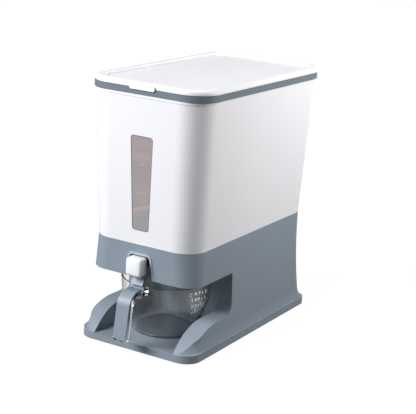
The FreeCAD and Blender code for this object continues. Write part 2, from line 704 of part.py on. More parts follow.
def base_shell():
    wall_foot = f"{S.plinth_height}-{S.wall_sink}"
    outer = fuse("base_outer", base_solid("base_form", "0", SEAM, wall_foot),
                 flare_solid("flare_form", "0", wall_foot),
                 plinth_solid("plinth_form", "0", S.ground_gap, S.plinth_height, True))
    inner = fuse("base_inner",
                 base_solid("base_core", S.base_wall, f"{SEAM}+{S.deep}", f"{wall_foot}-{S.past}"),
                 flare_solid("flare_core", S.base_wall, f"{wall_foot}-{S.past}"),
                 plinth_solid("plinth_core", S.base_wall, f"{S.ground_gap}-{S.past}",
                              f"{S.plinth_height}-{S.base_wall}", False))
    lining = fuse("linings", bay_cutter("bay_skin", S.base_wall), side_opening("right_skin", "1", S.base_wall),
                  side_opening("left_skin", "-1", S.base_wall), recess_cutter("recess_skin", S.base_wall))
    walls = cut("base_walls", outer, cut("base_cavity", inner, lining))
    whole = fuse("base_whole", walls, seat_ring(), *cover_bosses(), *gate_bosses())
    keep(cut("base_finished", whole, bay_cutter("bay", "0"), side_opening("right_side", "1", "0"),
             side_opening("left_side", "-1", "0"), recess_cutter("recess", "0"), *base_holes()), "base_shell")


def seat_ring():
    """Ledge inside the base's wall that backs the bin's collar and takes its screws."""
    block = box("seat_block", f"-({HALF})", HALF, FRONT, BACK, SEAT_LOW, f"{SEAT_LOW}+{S.seat_height}")
    limit = base_solid("seat_limit", f"{S.base_wall}-{S.bite}", SEAM, S.plinth_height)
    hole = seam_ring("seat_hole", f"{SEAT_LOW}-{S.past}", f"{SEAT_LOW}+{S.seat_height}+{S.past}",
                     S.seat_inner_inset)
    return cut("seat_ledge", common("seat_fitted", block, limit), hole)


def both_sides(from_middle, rows):
    """Places (x, y) in pairs, left and right of the middle plane, one pair for each row."""
    return [(f"{side}*{from_middle}", y) for side in (-1, 1) for y in rows]


def cover_screw_spots():
    front = f"{FRONT}+{S.cover_row_front}"
    back = f"{BACK}-{S.cover_row_back}"
    return both_sides(f"({HALF}-{S.cover_boss_inset})", (front, f"(({front})+({back}))/2", back))


def bin_screw_spots():
    side = f"({HALF}-{S.seam_side_inset}-{S.bin_screw_inset})"
    return both_sides(side, (f"{FRONT}+{S.bin_row_front}", f"{BACK}-{S.bin_row_back}"))


def gate_screw_spots():
    front = f"{TRACK_FRONT}+{S.gate_screw_inset}"
    back = f"{TRACK_BACK}-{S.gate_screw_inset}"
    return both_sides(S.gate_screw_side, (front, back))


def cover_bosses():
    low = f"{S.cover_lift}+{S.cover_sheet}"
    return [rod(f"cover_boss_{index}", S.boss_radius, S.cover_boss_tall, x, y, low)
            for index, (x, y) in enumerate(cover_screw_spots())]


def gate_bosses():
    return [rod(f"gate_boss_{index}", S.boss_radius, f"{S.chute_plate}+{S.past}", x, y, f"{HEAD_DECK}-{S.past}")
            for index, (x, y) in enumerate(gate_screw_spots())]


def base_holes():
    holes = []
    pilot = f"{S.screw_shank}+{S.pin_gap}"
    for index, (x, y) in enumerate(cover_screw_spots()):
        holes.append(rod(f"cover_pilot_{index}", pilot, f"{S.cover_screw_length}+2*{S.past}", x, y,
                         f"{S.cover_lift}+{S.cover_sheet}-{S.past}"))
    for index, (x, y) in enumerate(bin_screw_spots()):
        holes.append(rod(f"seat_hole_{index}", S.screw_clear, f"{S.seat_height}+2*{S.past}", x, y,
                         f"{SEAT_LOW}-{S.past}"))
    for index, (x, y) in enumerate(gate_screw_spots()):
        holes.append(rod(f"deck_pilot_{index}", pilot, f"{S.gate_screw_length}+{S.past}", x, y,
                         f"{TRACK_LOW}+{S.track_plate}-{S.gate_screw_length}-{S.bite}"))
    reach_x = f"{S.outlet_width}/2+{S.chute_wall}+{S.slip_gap}"
    reach_y = f"{S.outlet_length}/2+{S.chute_wall}+{S.slip_gap}"
    holes.append(box("deck_slot", minus(reach_x), reach_x, f"{CUP_Y}-({reach_y})", f"{CUP_Y}+({reach_y})",
                     f"{CEILING}-{S.past}", f"{HEAD_DECK}+{S.past}"))
    stem_x = f"{S.stem_width}/2+{S.slip_gap}"
    stem_z = f"{S.stem_tall}/2+{S.slip_gap}"
    holes.append(box("stem_hole", minus(stem_x), stem_x, f"{RECESS_BACK}-{S.past}",
                     f"{RECESS_BACK}+{S.base_wall}+{S.past}", f"{BUTTON_Z}-({stem_z})",
                     f"{BUTTON_Z}+({stem_z})"))
    return holes


def screw(name, x, y, head_face, length, points_up):
    """A pan-head screw: its head's inner face is at head_face and its shank runs from there."""
    head_low = f"{head_face}-{S.screw_head_tall}" if points_up else head_face
    shank_low = f"{head_face}-{S.bite}" if points_up else f"{head_face}-({length})"
    head = rod(f"{name}_head", S.screw_head, S.screw_head_tall, x, y, head_low)
    shank = rod(f"{name}_shank", S.screw_shank, f"{length}+{S.bite}", x, y, shank_low)
    return fuse(name, head, shank)


def bottom_cover():
    body = new_body("cover_body")
    inset = f"{S.base_wall}+{S.slip_gap}"
    sheet_plan = plan(body, "cover_plan", S.cover_lift, f"{HALF}-({inset})",
                      f"{FRONT}+{S.plinth_front_inset}+({inset})", f"{BACK}-{S.plinth_back_inset}-({inset})",
                      f"{S.plinth_front_corner}-({inset})", f"{S.plinth_back_corner}-({inset})")
    pad(body, sheet_plan, S.cover_sheet)
    holes = []
    low = f"{S.cover_lift}-{S.past}"
    for index, (x, y) in enumerate(cover_screw_spots()):
        holes.append(rod(f"cover_hole_{index}", S.screw_clear, f"{S.cover_sheet}+2*{S.past}",
                         x, y, low))
        holes.append(rod(f"cover_sink_{index}", f"{S.screw_head}+{S.face_gap}", f"{S.screw_head_tall}+{S.past}",
                         x, y, low))
    for index, (x, y) in enumerate(foot_spots()):
        holes.append(rod(f"foot_socket_{index}", f"{S.foot_radius}+{S.pin_gap}", f"{S.foot_socket}+{S.past}",
                         x, y, low))
    keep(cut("cover_finished", body, *holes), "bottom_cover")


def bottom_screws():
    screws = [screw(f"bottom_screw_{index}", x, y, f"{S.cover_lift}+{S.screw_head_tall}", S.cover_screw_length,
                    True)
              for index, (x, y) in enumerate(cover_screw_spots())]
    keep(group("bottom_screw_set", screws), "bottom_screws")


def foot_spots():
    front = f"{FRONT}+{S.plinth_front_inset}+{S.foot_end_inset}"
    back = f"{BACK}-{S.plinth_back_inset}-{S.foot_end_inset}"
    return both_sides(f"({HALF}-{S.foot_side_inset})", (front, back))


def rubber_feet():
    feet = [rod(f"foot_{index}", S.foot_radius, f"{S.cover_lift}+{S.foot_socket}", x, y, "0")
            for index, (x, y) in enumerate(foot_spots())]
    keep(group("foot_set", feet), "rubber_feet")


# ---------------------------------------------------------------- outlet and gate

def slot_box(name, y_centre, low, high, grow="0"):
    """A cutter for the rice slot through a plate."""
    half_x = f"({S.outlet_width}/2+({grow}))"
    half_y = f"({S.outlet_length}/2+({grow}))"
    return box(name, minus(half_x), half_x, f"{y_centre}-{half_y}", f"{y_centre}+{half_y}", low, high)


def outlet_chute():
    flange_grow = f"{S.chute_wall}+{S.chute_flange}"
    flange_x = f"({S.outlet_width}/2+{S.chute_wall}+{S.chute_flange})"
    flange_y = f"({S.outlet_length}/2+{flange_grow})"
    flange = box("chute_flange_plate", minus(flange_x), flange_x, f"{CUP_Y}-{flange_y}", f"{CUP_Y}+{flange_y}",
                 HEAD_DECK, TRACK_LOW)
    spout = slot_box("chute_spout", CUP_Y, f"{CEILING}-{S.chute_drop}", TRACK_LOW, S.chute_wall)
    hole = slot_box("chute_hole", CUP_Y, f"{CEILING}-{S.chute_drop}-{S.past}", f"{TRACK_LOW}+{S.past}")
    keep(cut("chute_finished", fuse("chute_whole", flange, spout), hole), "outlet_chute")


def mirrored(side, low, high):
    """The (low, high) of a stretch along x on the right, or of its mirror image on the left."""
    return (low, high) if side > 0 else (minus(high), minus(low))


def gate_track():
    floor_top = f"{TRACK_LOW}+{S.track_plate}"
    pieces = [box("track_floor_plate", minus(S.track_half_width), S.track_half_width, TRACK_FRONT, TRACK_BACK,
                  TRACK_LOW, floor_top)]
    rail_in = f"({S.gate_half_width}+{S.gate_play})"
    spring_x = f"({S.ear_inner}+{S.ear_outer})/2"
    for name, side in (("left", -1), ("right", 1)):
        rail_low, rail_high = mirrored(side, rail_in, f"{rail_in}+{S.rail_width}")
        pieces.append(box(f"rail_{name}", rail_low, rail_high, TRACK_FRONT, f"{CUP_Y}+{S.rail_rear_run}",
                          f"{floor_top}-{S.bite}", RAIL_TOP))
        post_low, post_high = mirrored(side, S.ear_inner, S.ear_outer)
        pieces.append(box(f"post_{name}", post_low, post_high, POST_FRONT, f"{POST_FRONT}+{S.post_plate}",
                          f"{floor_top}-{S.bite}", f"{GATE_LOW}+{S.ear_tall}"))
        pieces.append(rod(f"guide_{name}", S.guide_radius, f"{S.guide_length}+{S.bite}", f"{side}*{spring_x}",
                          f"{POST_FRONT}-{S.guide_length}", SPRING_Z, along="y"))
    holes = [slot_box("track_slot", CUP_Y, f"{TRACK_LOW}-{S.past}", f"{floor_top}+{S.past}")]
    for index, (x, y) in enumerate(gate_screw_spots()):
        holes.append(rod(f"track_hole_{index}", S.screw_clear, f"{S.track_plate}+2*{S.past}", x, y,
                         f"{TRACK_LOW}-{S.past}"))
    keep(cut("track_finished", fuse("track_whole", *pieces), *holes), "gate_track")


def gate_cover():
    reach = f"({S.gate_half_width}+{S.gate_play}+{S.rail_width})"
    plate = box("gate_cover_plate", minus(reach), reach, f"{CUP_Y}-{S.cover_front_run}",
                f"{CUP_Y}+{S.rail_rear_run}", RAIL_TOP, COVER_TOP)
    hole = slot_box("gate_cover_slot", CUP_Y, f"{RAIL_TOP}-{S.past}", f"{COVER_TOP}+{S.past}")
    keep(cut("gate_cover_finished", plate, hole), "gate_cover")


def gate_screws():
    screws = [screw(f"gate_screw_{index}", x, y, f"{TRACK_LOW}+{S.track_plate}", S.gate_screw_length, False)
              for index, (x, y) in enumerate(gate_screw_spots())]
    keep(group("gate_screw_set", screws), "gate_screws")


def gate_slide():
    """Sliding plate with its slot, two spring ears, a riser and the push rod to the button."""
    plate_front = f"({CUP_Y}-{S.gate_front_run})"
    plate_top = f"({GATE_LOW}+{S.gate_plate})"
    plate = box("gate_plate_form", minus(S.gate_half_width), S.gate_half_width, plate_front,
                f"{CUP_Y}+{S.gate_rear_run}", GATE_LOW, plate_top)
    slot = slot_box("gate_slot", GATE_SLOT_Y, f"{GATE_LOW}-{S.past}", f"{plate_top}+{S.past}")
    ear_front = f"({CUP_Y}+{S.ear_run})"
    ear_back = f"({ear_front}+{S.ear_plate})"
    ear_top = f"({GATE_LOW}+{S.ear_tall})"
    ears = box("gate_ears", minus(S.ear_outer), S.ear_outer, ear_front, ear_back, GATE_LOW, ear_top)
    ear_gap = box("gate_ear_gap", minus(S.ear_inner), S.ear_inner, f"{ear_front}-{S.past}",
                  f"{ear_back}+{S.past}", plate_top, f"{ear_top}+{S.past}")
    half_stem = f"{S.stem_width}/2"
    stem_top = f"{BUTTON_Z}+{S.stem_tall}/2"
    riser = box("gate_riser", minus(half_stem), half_stem, f"{plate_front}-{S.riser_plate}+{S.past}",
                f"{plate_front}+{S.past}", GATE_LOW, stem_top)
    stem = box("gate_stem", minus(half_stem), half_stem, f"{BUTTON_BACK}-{S.stem_grip}", plate_front,
               f"{BUTTON_Z}-{S.stem_tall}/2", stem_top)
    whole = fuse("gate_whole", plate, cut("gate_ears_cut", ears, ear_gap), riser, stem)
    keep(cut("gate_finished", whole, slot), "gate_slide")


def button_form(name, inset, front, length):
    """The button's tapered block, inset by a wall; it grows towards the rear."""
    body = new_body(name)
    half_x = f"({S.button_width}/2-({inset}))"
    half_z = f"({S.button_tall}/2-({inset}))"
    corners = [
        (minus(half_x), f"{BUTTON_Z}-{half_z}", None),
        (half_x, f"{BUTTON_Z}-{half_z}", None),
        (half_x, f"{BUTTON_Z}+{half_z}", None),
        (minus(half_x), f"{BUTTON_Z}+{half_z}", None),
    ]
    sketch = outline(body, f"{name}_face", "XZ_Plane", front, corners)
    return body, pad(body, sketch, length, taper=S.button_taper, backwards=True)


def button_cap():
    outer, block = button_form("button_outer", "0", FRONT, S.button_length)
    front = size(FRONT)
    round_edges(outer, block, S.button_round, lambda place: abs(place.y - front) < NEAR)
    inner, _ = button_form("button_inner", S.button_wall, f"{FRONT}+{S.button_wall}",
                           f"{S.button_length}-{S.button_wall}+{S.past}")
    socket_x = f"({S.stem_width}/2+{S.pin_gap})"
    socket_z = f"({S.stem_tall}/2+{S.pin_gap})"
    boss_x = f"({socket_x}+{S.button_boss_wall})"
    boss_z = f"({socket_z}+{S.button_boss_wall})"
    boss = box("button_boss", minus(boss_x), boss_x, f"{FRONT}+{S.button_wall}-{S.bite}", BUTTON_BACK,
               f"{BUTTON_Z}-{boss_z}", f"{BUTTON_Z}+{boss_z}")
    socket = box("button_socket", minus(socket_x), socket_x, f"{BUTTON_BACK}-{S.stem_grip}-{S.pin_gap}",
                 f"{BUTTON_BACK}+{S.past}", f"{BUTTON_Z}-{socket_z}", f"{BUTTON_Z}+{socket_z}")
    shell = fuse("button_whole", cut("button_shell", outer, inner), boss)
    keep(cut("button_finished", shell, socket), "button_cap")


def return_spring(side_name, side):
    """A compression spring along Y between a gate ear and its post."""
    helix = doc.addObject("Part::Helix", f"coil_{side_name}")
    coil_length = f"{S.spring_length}-2*{S.face_gap}-2*{S.spring_wire}"
    helix.setExpression("Height", coil_length)
    helix.setExpression("Pitch", f"({coil_length})/{S.spring_turns}")
    helix.setExpression("Radius", S.spring_radius)
    wire = doc.addObject("Part::Circle", f"wire_{side_name}")
    wire.setExpression("Radius", S.spring_wire)
    wire.Placement = FreeCAD.Placement(FreeCAD.Vector(), DIRECTIONS["y"])
    wire.setExpression("Placement.Base.x", S.spring_radius)
    sweep = doc.addObject("Part::Sweep", f"spring_{side_name}")
    sweep.Sections = [wire]
    sweep.Spine = (helix, [])
    sweep.Solid = True
    sweep.Frenet = True
    sweep.Placement = FreeCAD.Placement(FreeCAD.Vector(), DIRECTIONS["y"])
    sweep.setExpression("Placement.Base.x", f"{side}*({S.ear_inner}+{S.ear_outer})/2")
    sweep.setExpression("Placement.Base.y",
                        f"{CUP_Y}+{S.ear_run}+{S.ear_plate}+{S.face_gap}+{S.spring_wire}")
    sweep.setExpression("Placement.Base.z", SPRING_Z)
    keep(sweep, f"return_spring_{side_name}")


# ---------------------------------------------------------------- hopper

def bin_share(height):
    return f"(({height})-{SEAM})/({BIN_TOP}-{SEAM})"


def bin_plan(body, name, height, inset):
    """The bin's plan outline at a height, moved inwards: its walls are straight and taper."""
    share = bin_share(height)
    side = f"{HALF}-({between(S.seam_side_inset, S.bin_top_side_inset, share)})-({inset})"
    front = f"{FRONT}+({between(S.seam_front_inset, S.bin_top_front_inset, share)})+({inset})"
    back = f"{BACK}-({between(S.seam_back_inset, S.bin_top_back_inset, share)})-({inset})"
    corner = f"({between(S.seam_corner, S.bin_top_corner, share)})-({inset})"
    return plan(body, name, height, side, front, back, corner)


def bin_solid(name, low, high, inset):
    body = new_body(name)
    sections = [bin_plan(body, f"{name}_low", low, inset), bin_plan(body, f"{name}_high", high, inset)]
    loft(body, sections, ruled=True)
    return body


def seam_ring(name, low, high, inset):
    """A straight block with the seam's outline moved inwards."""
    body = new_body(name)
    sketch = plan(body, f"{name}_plan", low, f"{HALF}-{S.seam_side_inset}-({inset})",
                  f"{FRONT}+{S.seam_front_inset}+({inset})", f"{BACK}-{S.seam_back_inset}-({inset})",
                  f"{S.seam_corner}-({inset})")
    pad(body, sketch, f"({high})-({low})")
    return body


def band_ring(name, low, high, inset):
    """A straight block with the rim band's outline moved inwards."""
    body = new_body(name)
    sketch = plan(body, f"{name}_plan", low, f"{HALF}-{S.band_side_inset}-({inset})",
                  f"{FRONT}+{S.band_front_inset}+({inset})", f"{BACK}-({inset})", f"{S.band_corner}-({inset})")
    pad(body, sketch, f"({high})-({low})")
    return body


def rear_block(name, low, high, front_reach):
    """Cutter or filler for the hinge stretch at the back of the rim."""
    return box(name, minus(HINGE_SIDE), HINGE_SIDE, f"{BACK}-({front_reach})", f"{BACK}+{S.past}", low, high)


def window_form(name, grow, extra):
    """A tapered upright window block through the bin's leaning front wall, longer by extra at both ends."""
    body = new_body(name)
    low = f"{WINDOW_LOW}-({grow})"
    high = f"{WINDOW_HIGH}+({grow})"
    half_low = f"({S.window_bottom_width}/2+({grow}))"
    half_high = f"({S.window_top_width}/2+({grow}))"
    radius = f"{S.window_round}+({grow})"
    corners = [
        (minus(half_low), low, radius),
        (half_low, low, radius),
        (half_high, high, radius),
        (minus(half_high), high, radius),
    ]
    sketch = outline(body, f"{name}_shape", "XZ_Plane", f"{FRONT}-{S.window_lead}-({extra})", corners)
    pad(body, sketch, f"{S.window_reach}+2*({extra})", backwards=True)
    return body


def window_slice(name, outer_inset, inner_inset):
    """The layer of the bin wall between two insets."""
    low = f"{WINDOW_LOW}-{S.layer_margin}"
    high = f"{WINDOW_HIGH}+{S.layer_margin}"
    return cut(f"{name}_layer", bin_solid(f"{name}_out", low, high, outer_inset),
               bin_solid(f"{name}_in", f"{low}-{S.past}", f"{high}+{S.past}", inner_inset))


def bin_shell():
    spigot_inset = f"{S.base_wall}+{S.slip_gap}+{S.spigot_ease}"
    spigot_low = f"{SEAM}-{S.spigot_length}"
    outer = fuse("bin_outer", bin_solid("bin_form", SEAM, BIN_TOP, "0"),
                 seam_ring("spigot_form", spigot_low, f"{SEAM}+{S.past}", spigot_inset),
                 bin_flange(), bin_upstand())
    core = fuse("bin_inner", bin_solid("bin_core", f"{SEAM}+{S.bin_ledge}", f"{BIN_TOP}+{S.past}", S.bin_wall),
                seam_ring("spigot_core", f"{spigot_low}-{S.past}", f"{SEAM}+{S.bin_ledge}+{S.past}",
                          f"{spigot_inset}+{S.bin_wall}"),
                band_ring("flange_core", f"{BIN_TOP}-{S.bite}", f"{BAND_TOP}+{S.past}", S.flange_inner_inset))
    bosses = []
    pilots = []
    for index, (x, y) in enumerate(bin_screw_spots()):
        bosses.append(rod(f"bin_boss_{index}", S.boss_radius, f"{S.spigot_length}+{S.bin_ledge}", x, y,
                          spigot_low))
        pilots.append(rod(f"bin_pilot_{index}", f"{S.screw_shank}+{S.pin_gap}", S.bin_screw_length, x, y,
                          f"{spigot_low}-{S.past}"))
    window = window_form("window_hole", f"{S.seal_width}+{S.pin_gap}", "0")
    walls = fuse("bin_walls", cut("bin_hollow", outer, core), *bosses)
    keep(cut("bin_finished", walls, window, *pilots), "bin_shell")


def bin_flange():
    """Flat rim that runs a little past the bin's wall, all round."""
    body = new_body("flange_form")
    sketch = bin_plan(body, "flange_plan", BIN_TOP, minus(S.flange_overhang))
    pad(body, sketch, S.flange_plate)
    return body


def bin_upstand():
    """Locating rib that stands in the band's groove, left out along the hinge stretch."""
    inset = f"{S.band_skin}+{S.slip_gap}"
    depth = f"{S.band_width}-{S.band_skin}-{S.slip_gap}"
    high = f"{BAND_LOW}+{S.upstand_height}"
    ring = cut("upstand_ring", band_ring("upstand_out", f"{BAND_LOW}-{S.bite}", high, inset),
               band_ring("upstand_in", f"{BAND_LOW}-{S.past}", f"{high}+{S.past}", depth))
    return cut("upstand", ring, rear_block("upstand_end", f"{BAND_LOW}-{S.past}", BAND_TOP, S.upstand_stop))


def bin_screws():
    screws = [screw(f"bin_screw_{index}", x, y, SEAT_LOW, S.bin_screw_length, True)
              for index, (x, y) in enumerate(bin_screw_spots())]
    keep(group("bin_screw_set", screws), "bin_screws")


def window_pane():
    layer = window_slice("pane", S.pane_sink, S.bin_wall)
    keep(common("pane_finished", window_form("pane_form", "0", "0"), layer), "window_pane")


def window_seal():
    layer = window_slice("seal", S.seal_sink, S.bin_wall)
    frame = cut("seal_frame", window_form("seal_out", S.seal_width, "0"),
                window_form("seal_in", S.pin_gap, S.past))
    keep(common("seal_finished", frame, layer), "window_seal")


def throat_plan(body, name, height, grow):
    half_y = f"({S.outlet_length}/2+({grow}))"
    return plan(body, name, height, f"{S.outlet_width}/2+({grow})", f"{CUP_Y}-{half_y}", f"{CUP_Y}+{half_y}",
                f"{S.throat_corner}+({grow})")


def funnel_cone(name, inset, grow, overshoot):
    """Loft from the bin's section at the rim to the outlet, then straight down."""
    body = new_body(name)
    neck = f"{THROAT_LOW}+{S.throat_length}"
    rim = bin_plan(body, f"{name}_rim", f"{FUNNEL_RIM}+({overshoot})", inset)
    throat = throat_plan(body, f"{name}_neck", neck, grow)
    loft(body, [throat, rim], ruled=True)
    doc.recompute()
    foot = throat_plan(body, f"{name}_foot", f"{THROAT_LOW}-({overshoot})", grow)
    pad(body, foot, f"{S.throat_length}+({overshoot})")
    return body


def hopper_funnel():
    """Funnel whose outer skirt stands on the bin's ledge."""
    out_inset = f"{S.bin_wall}+{S.slip_gap}"
    in_inset = f"{out_inset}+{S.funnel_wall}"
    skirt_low = f"{SEAM}+{S.bin_ledge}+{S.face_gap}"
    skirt = cut("funnel_skirt", bin_solid("skirt_out", skirt_low, FUNNEL_RIM, out_inset),
                bin_solid("skirt_in", f"{skirt_low}-{S.past}", f"{FUNNEL_RIM}+{S.past}", in_inset))
    cone = funnel_cone("funnel_out", out_inset, S.funnel_wall, "0")
    hollow = funnel_cone("funnel_in", in_inset, "0", S.funnel_clear)
    keep(cut("funnel_finished", fuse("funnel_whole", skirt, cone), hollow), "hopper_funnel")


# ---------------------------------------------------------------- rim band and lid

def hinge_rods(name, radius, length):
    """Cylinders on the hinge axis, one at each knuckle."""
    return [rod(f"{name}_{index}", radius, length, f"{side}*{KNUCKLE_X}-({length})/2", HINGE_Y, HINGE_Z,
                along="x")
            for index, side in enumerate((-1, 1))]


def rim_band():
    ring = cut("band_ring", band_ring("band_out", BAND_LOW, BAND_TOP, "0"),
               band_ring("band_in", f"{BAND_LOW}-{S.past}", f"{BAND_TOP}+{S.past}", S.band_width))
    groove_top = f"{BAND_LOW}+{S.groove_height}"
    groove_ring = cut("groove_ring", band_ring("groove_out", f"{BAND_LOW}-{S.past}", groove_top, S.band_skin),
                      band_ring("groove_in", f"{BAND_LOW}-2*{S.past}", f"{groove_top}+{S.past}",
                                f"{S.band_width}-{S.band_skin}"))
    groove_end = rear_block("groove_end", f"{BAND_LOW}-2*{S.past}", BAND_TOP, S.groove_stop)
    groove = cut("groove", groove_ring, groove_end)
    half_notch = f"({S.knuckle_length}/2+{S.face_gap})"
    notches = [box(f"hinge_notch_{index}", f"{side}*{KNUCKLE_X}-{half_notch}",
                   f"{side}*{KNUCKLE_X}+{half_notch}", f"{BACK}-{S.notch_depth}", f"{BACK}+{S.past}",
                   f"{BAND_LOW}-{S.past}", f"{BAND_TOP}+{S.past}")
               for index, side in enumerate((-1, 1))]
    bores = hinge_rods("band_bore", f"{S.hinge_pin_radius}+{S.press_gap}", f"{S.hinge_pin_length}+{S.pin_gap}")
    keep(cut("band_finished", ring, groove, hinge_relief(), *notches, *bores), "rim_band")


def hinge_relief():
    """Rounds the band's rear upper edge about the hinge axis, so that the lid can swing over it."""
    corner = box("relief_corner", minus(HINGE_SIDE), HINGE_SIDE, HINGE_Y, f"{BACK}+{S.past}",
                 HINGE_Z, f"{BAND_TOP}+{S.past}")
    kept = rod("relief_kept", f"{LID_LOW}-{HINGE_Z}-{S.face_gap}", f"2*({HINGE_SIDE}+{S.past})",
               f"-({HINGE_SIDE}+{S.past})", HINGE_Y, HINGE_Z, along="x")
    return cut("relief", corner, kept)


def hinge_pins():
    keep(group("hinge_pin_set", hinge_rods("hinge_pin", S.hinge_pin_radius, S.hinge_pin_length)), "hinge_pins")


def lid_plan(body, name, height, inset, corner):
    return plan(body, name, height, f"{HALF}-{S.band_side_inset}-{S.lid_edge_inset}-({inset})",
                f"{FRONT}+{S.band_front_inset}+{S.lid_edge_inset}+({inset})",
                f"{BACK}-{S.lid_back_inset}-({inset})", corner)


def lid_plate():
    body = new_body("lid_plate")
    slab = pad(body, lid_plan(body, "lid_outline", LID_LOW, "0", S.lid_corner), f"{S.total_height}-{LID_LOW}")
    top = size(S.total_height)
    rounded = round_edges(body, slab, S.lid_round, lambda place: abs(place.z - top) < NEAR)
    panel = lid_plan(body, "panel_outline", S.total_height, S.panel_inset, S.panel_corner)
    doc.recompute()
    body.Tip = rounded
    sunk = pocket(body, panel, S.panel_depth)
    doc.recompute()
    floor = size(f"{S.total_height}-{S.panel_depth}")
    inner = size(f"{HALF}-{S.band_side_inset}-{S.panel_inset}")
    round_edges(body, sunk, S.panel_round, lambda place: abs(place.z - floor) < NEAR and abs(place.x) < inner)
    return body


def lid_skirt_block(name, low, high, inset):
    """Block with the outline of the lid's skirt, which stands further in at the hinge side."""
    body = new_body(name)
    side = f"{HALF}-{S.band_side_inset}-{S.band_width}-{S.skirt_gap}-({inset})"
    front = f"{FRONT}+{S.band_front_inset}+{S.band_width}+{S.skirt_gap}+({inset})"
    back = f"{BACK}-{S.band_width}-{S.skirt_rear_gap}-({inset})"
    sketch = plan(body, f"{name}_plan", low, side, front, back, f"{S.band_corner}-{S.band_width}-({inset})")
    pad(body, sketch, f"({high})-({low})")
    return body


def finger_tab():
    body = new_body("tab")
    low = f"({BAND_TOP}-{S.tab_drop})"
    half = f"{S.tab_width}/2"
    corners = [
        (minus(half), low, S.tab_round),
        (half, low, S.tab_round),
        (half, f"{low}+{S.tab_height}", S.tab_round),
        (minus(half), f"{low}+{S.tab_height}", S.tab_round),
    ]
    sketch = outline(body, "tab_face", "XZ_Plane", FRONT, corners)
    pad(body, sketch, f"{S.band_front_inset}+{S.tab_root}", backwards=True)
    band_front = f"{FRONT}+{S.band_front_inset}"
    clear = box("tab_space", f"-{half}-{S.past}", f"{half}+{S.past}", f"{band_front}-{S.tab_clear}",
                f"{band_front}+{S.tab_root}+{S.past}", f"{low}-{S.past}", LID_LOW)
    return cut("tab_trimmed", body, clear)


def lid_shell():
    skirt_low = f"{LID_LOW}-{S.skirt_height}"
    skirt = cut("lid_skirt", lid_skirt_block("lid_skirt_out", skirt_low, f"{LID_LOW}+{S.bite}", "0"),
                lid_skirt_block("lid_skirt_in", f"{skirt_low}-{S.past}", f"{LID_LOW}+{S.past}", S.skirt_wall))
    knuckles = hinge_rods("knuckle", S.knuckle_radius, S.knuckle_length)
    arms = [box(f"knuckle_arm_{index}", f"{side}*{KNUCKLE_X}-{S.knuckle_length}/2",
                f"{side}*{KNUCKLE_X}+{S.knuckle_length}/2", f"{HINGE_Y}-{S.knuckle_radius}",
                f"{HINGE_Y}+{S.knuckle_radius}", HINGE_Z, f"{LID_LOW}+{S.bite}")
            for index, side in enumerate((-1, 1))]
    whole = fuse("lid_whole", lid_plate(), skirt, finger_tab(), *knuckles, *arms)
    bore_run = f"{S.knuckle_length}+{S.knuckle_bore_run}"
    bores = hinge_rods("lid_bore", f"{S.hinge_pin_radius}+{S.pin_gap}", bore_run)
    keep(cut("lid_finished", whole, *bores), "lid_shell")


def lid_gasket():
    low = f"{BAND_LOW}+{S.face_gap}"
    high = f"{LID_LOW}-{S.skirt_height}"
    inner = lid_skirt_block("gasket_in", f"({low})-{S.past}", f"({high})+{S.past}", S.gasket_width)
    keep(cut("gasket_finished", lid_skirt_block("gasket_out", low, high, "0"), inner), "lid_gasket")


# ---------------------------------------------------------------- cup

def cup_revolve(name, inset, top_extra):
    """The cup's round form about its own axis, moved inwards by a wall."""
    body = new_body(name)
    rim_z = f"{S.cup_height}+({top_extra})"
    corners = [
        ("0", inset, None),
        (f"{S.cup_foot_radius}-({inset})", inset, S.cup_foot_round),
        (f"{S.cup_shoulder_radius}-({inset})", S.cup_shoulder, S.cup_shoulder_round),
        (f"{S.cup_rim_radius}-({inset})", rim_z, None),
        ("0", rim_z, None),
    ]
    sketch = outline(body, f"{name}_profile", "XZ_Plane", "0", corners)
    turned = body.newObject("PartDesign::Revolution", f"{name}_turned")
    turned.Profile = sketch
    turned.ReferenceAxis = (sketch, ["V_Axis"])
    turned.Angle = 360
    body.setExpression("Placement.Base.y", CUP_Y)
    body.setExpression("Placement.Base.z", CUP_FOOT)
    return body


def handle_path(front_inset, depth, arm, low, root_y):
    """Side outline of the hooked grip: a leaning upright and an arm that reaches back to root_y."""
    top = f"({CUP_FOOT}+{S.handle_top})"
    slope = f"({S.handle_lean}/({S.handle_top}-{S.handle_low}))"
    outer_top = f"({top}-({front_inset}))"
    inner_top = f"({outer_top}-({arm}))"
    outer_foot = f"({NOSE}+({front_inset})+{slope}*(({low})-{STRAP_LOW}))"
    inner_foot = f"({outer_foot}+({depth}))"
    return [
        (outer_foot, low, None),
        (f"{outer_foot}+{slope}*({outer_top}-({low}))", outer_top, f"{S.handle_bend}-({front_inset})"),
        (root_y, outer_top, None),
        (root_y, inner_top, None),
        (f"{inner_foot}+{slope}*({inner_top}-({low}))", inner_top, f"{S.handle_bend}-({front_inset})-({arm})"),
        (inner_foot, low, None),
    ]


def handle_solid(name, corners, width, tip_round, edge_round=None):
    """A handle outline padded to a width about the middle plane, with a rounded lower tip."""
    body = new_body(name)
    sketch = outline(body, f"{name}_side", "YZ_Plane", "0", corners)
    solid = pad(body, sketch, width, both_ways=True)
    low = size(corners[0][1])
    side = size(width) / 2
    tipped = round_edges(body, solid, tip_round,
                         lambda place: abs(place.z - low) < NEAR and abs(abs(place.x) - side) < NEAR)
    if edge_round:
        root = size(corners[2][0])
        round_edges(body, tipped, edge_round,
                    lambda place: place.y < root - NEAR and abs(abs(place.x) - side) < NEAR)
    return body


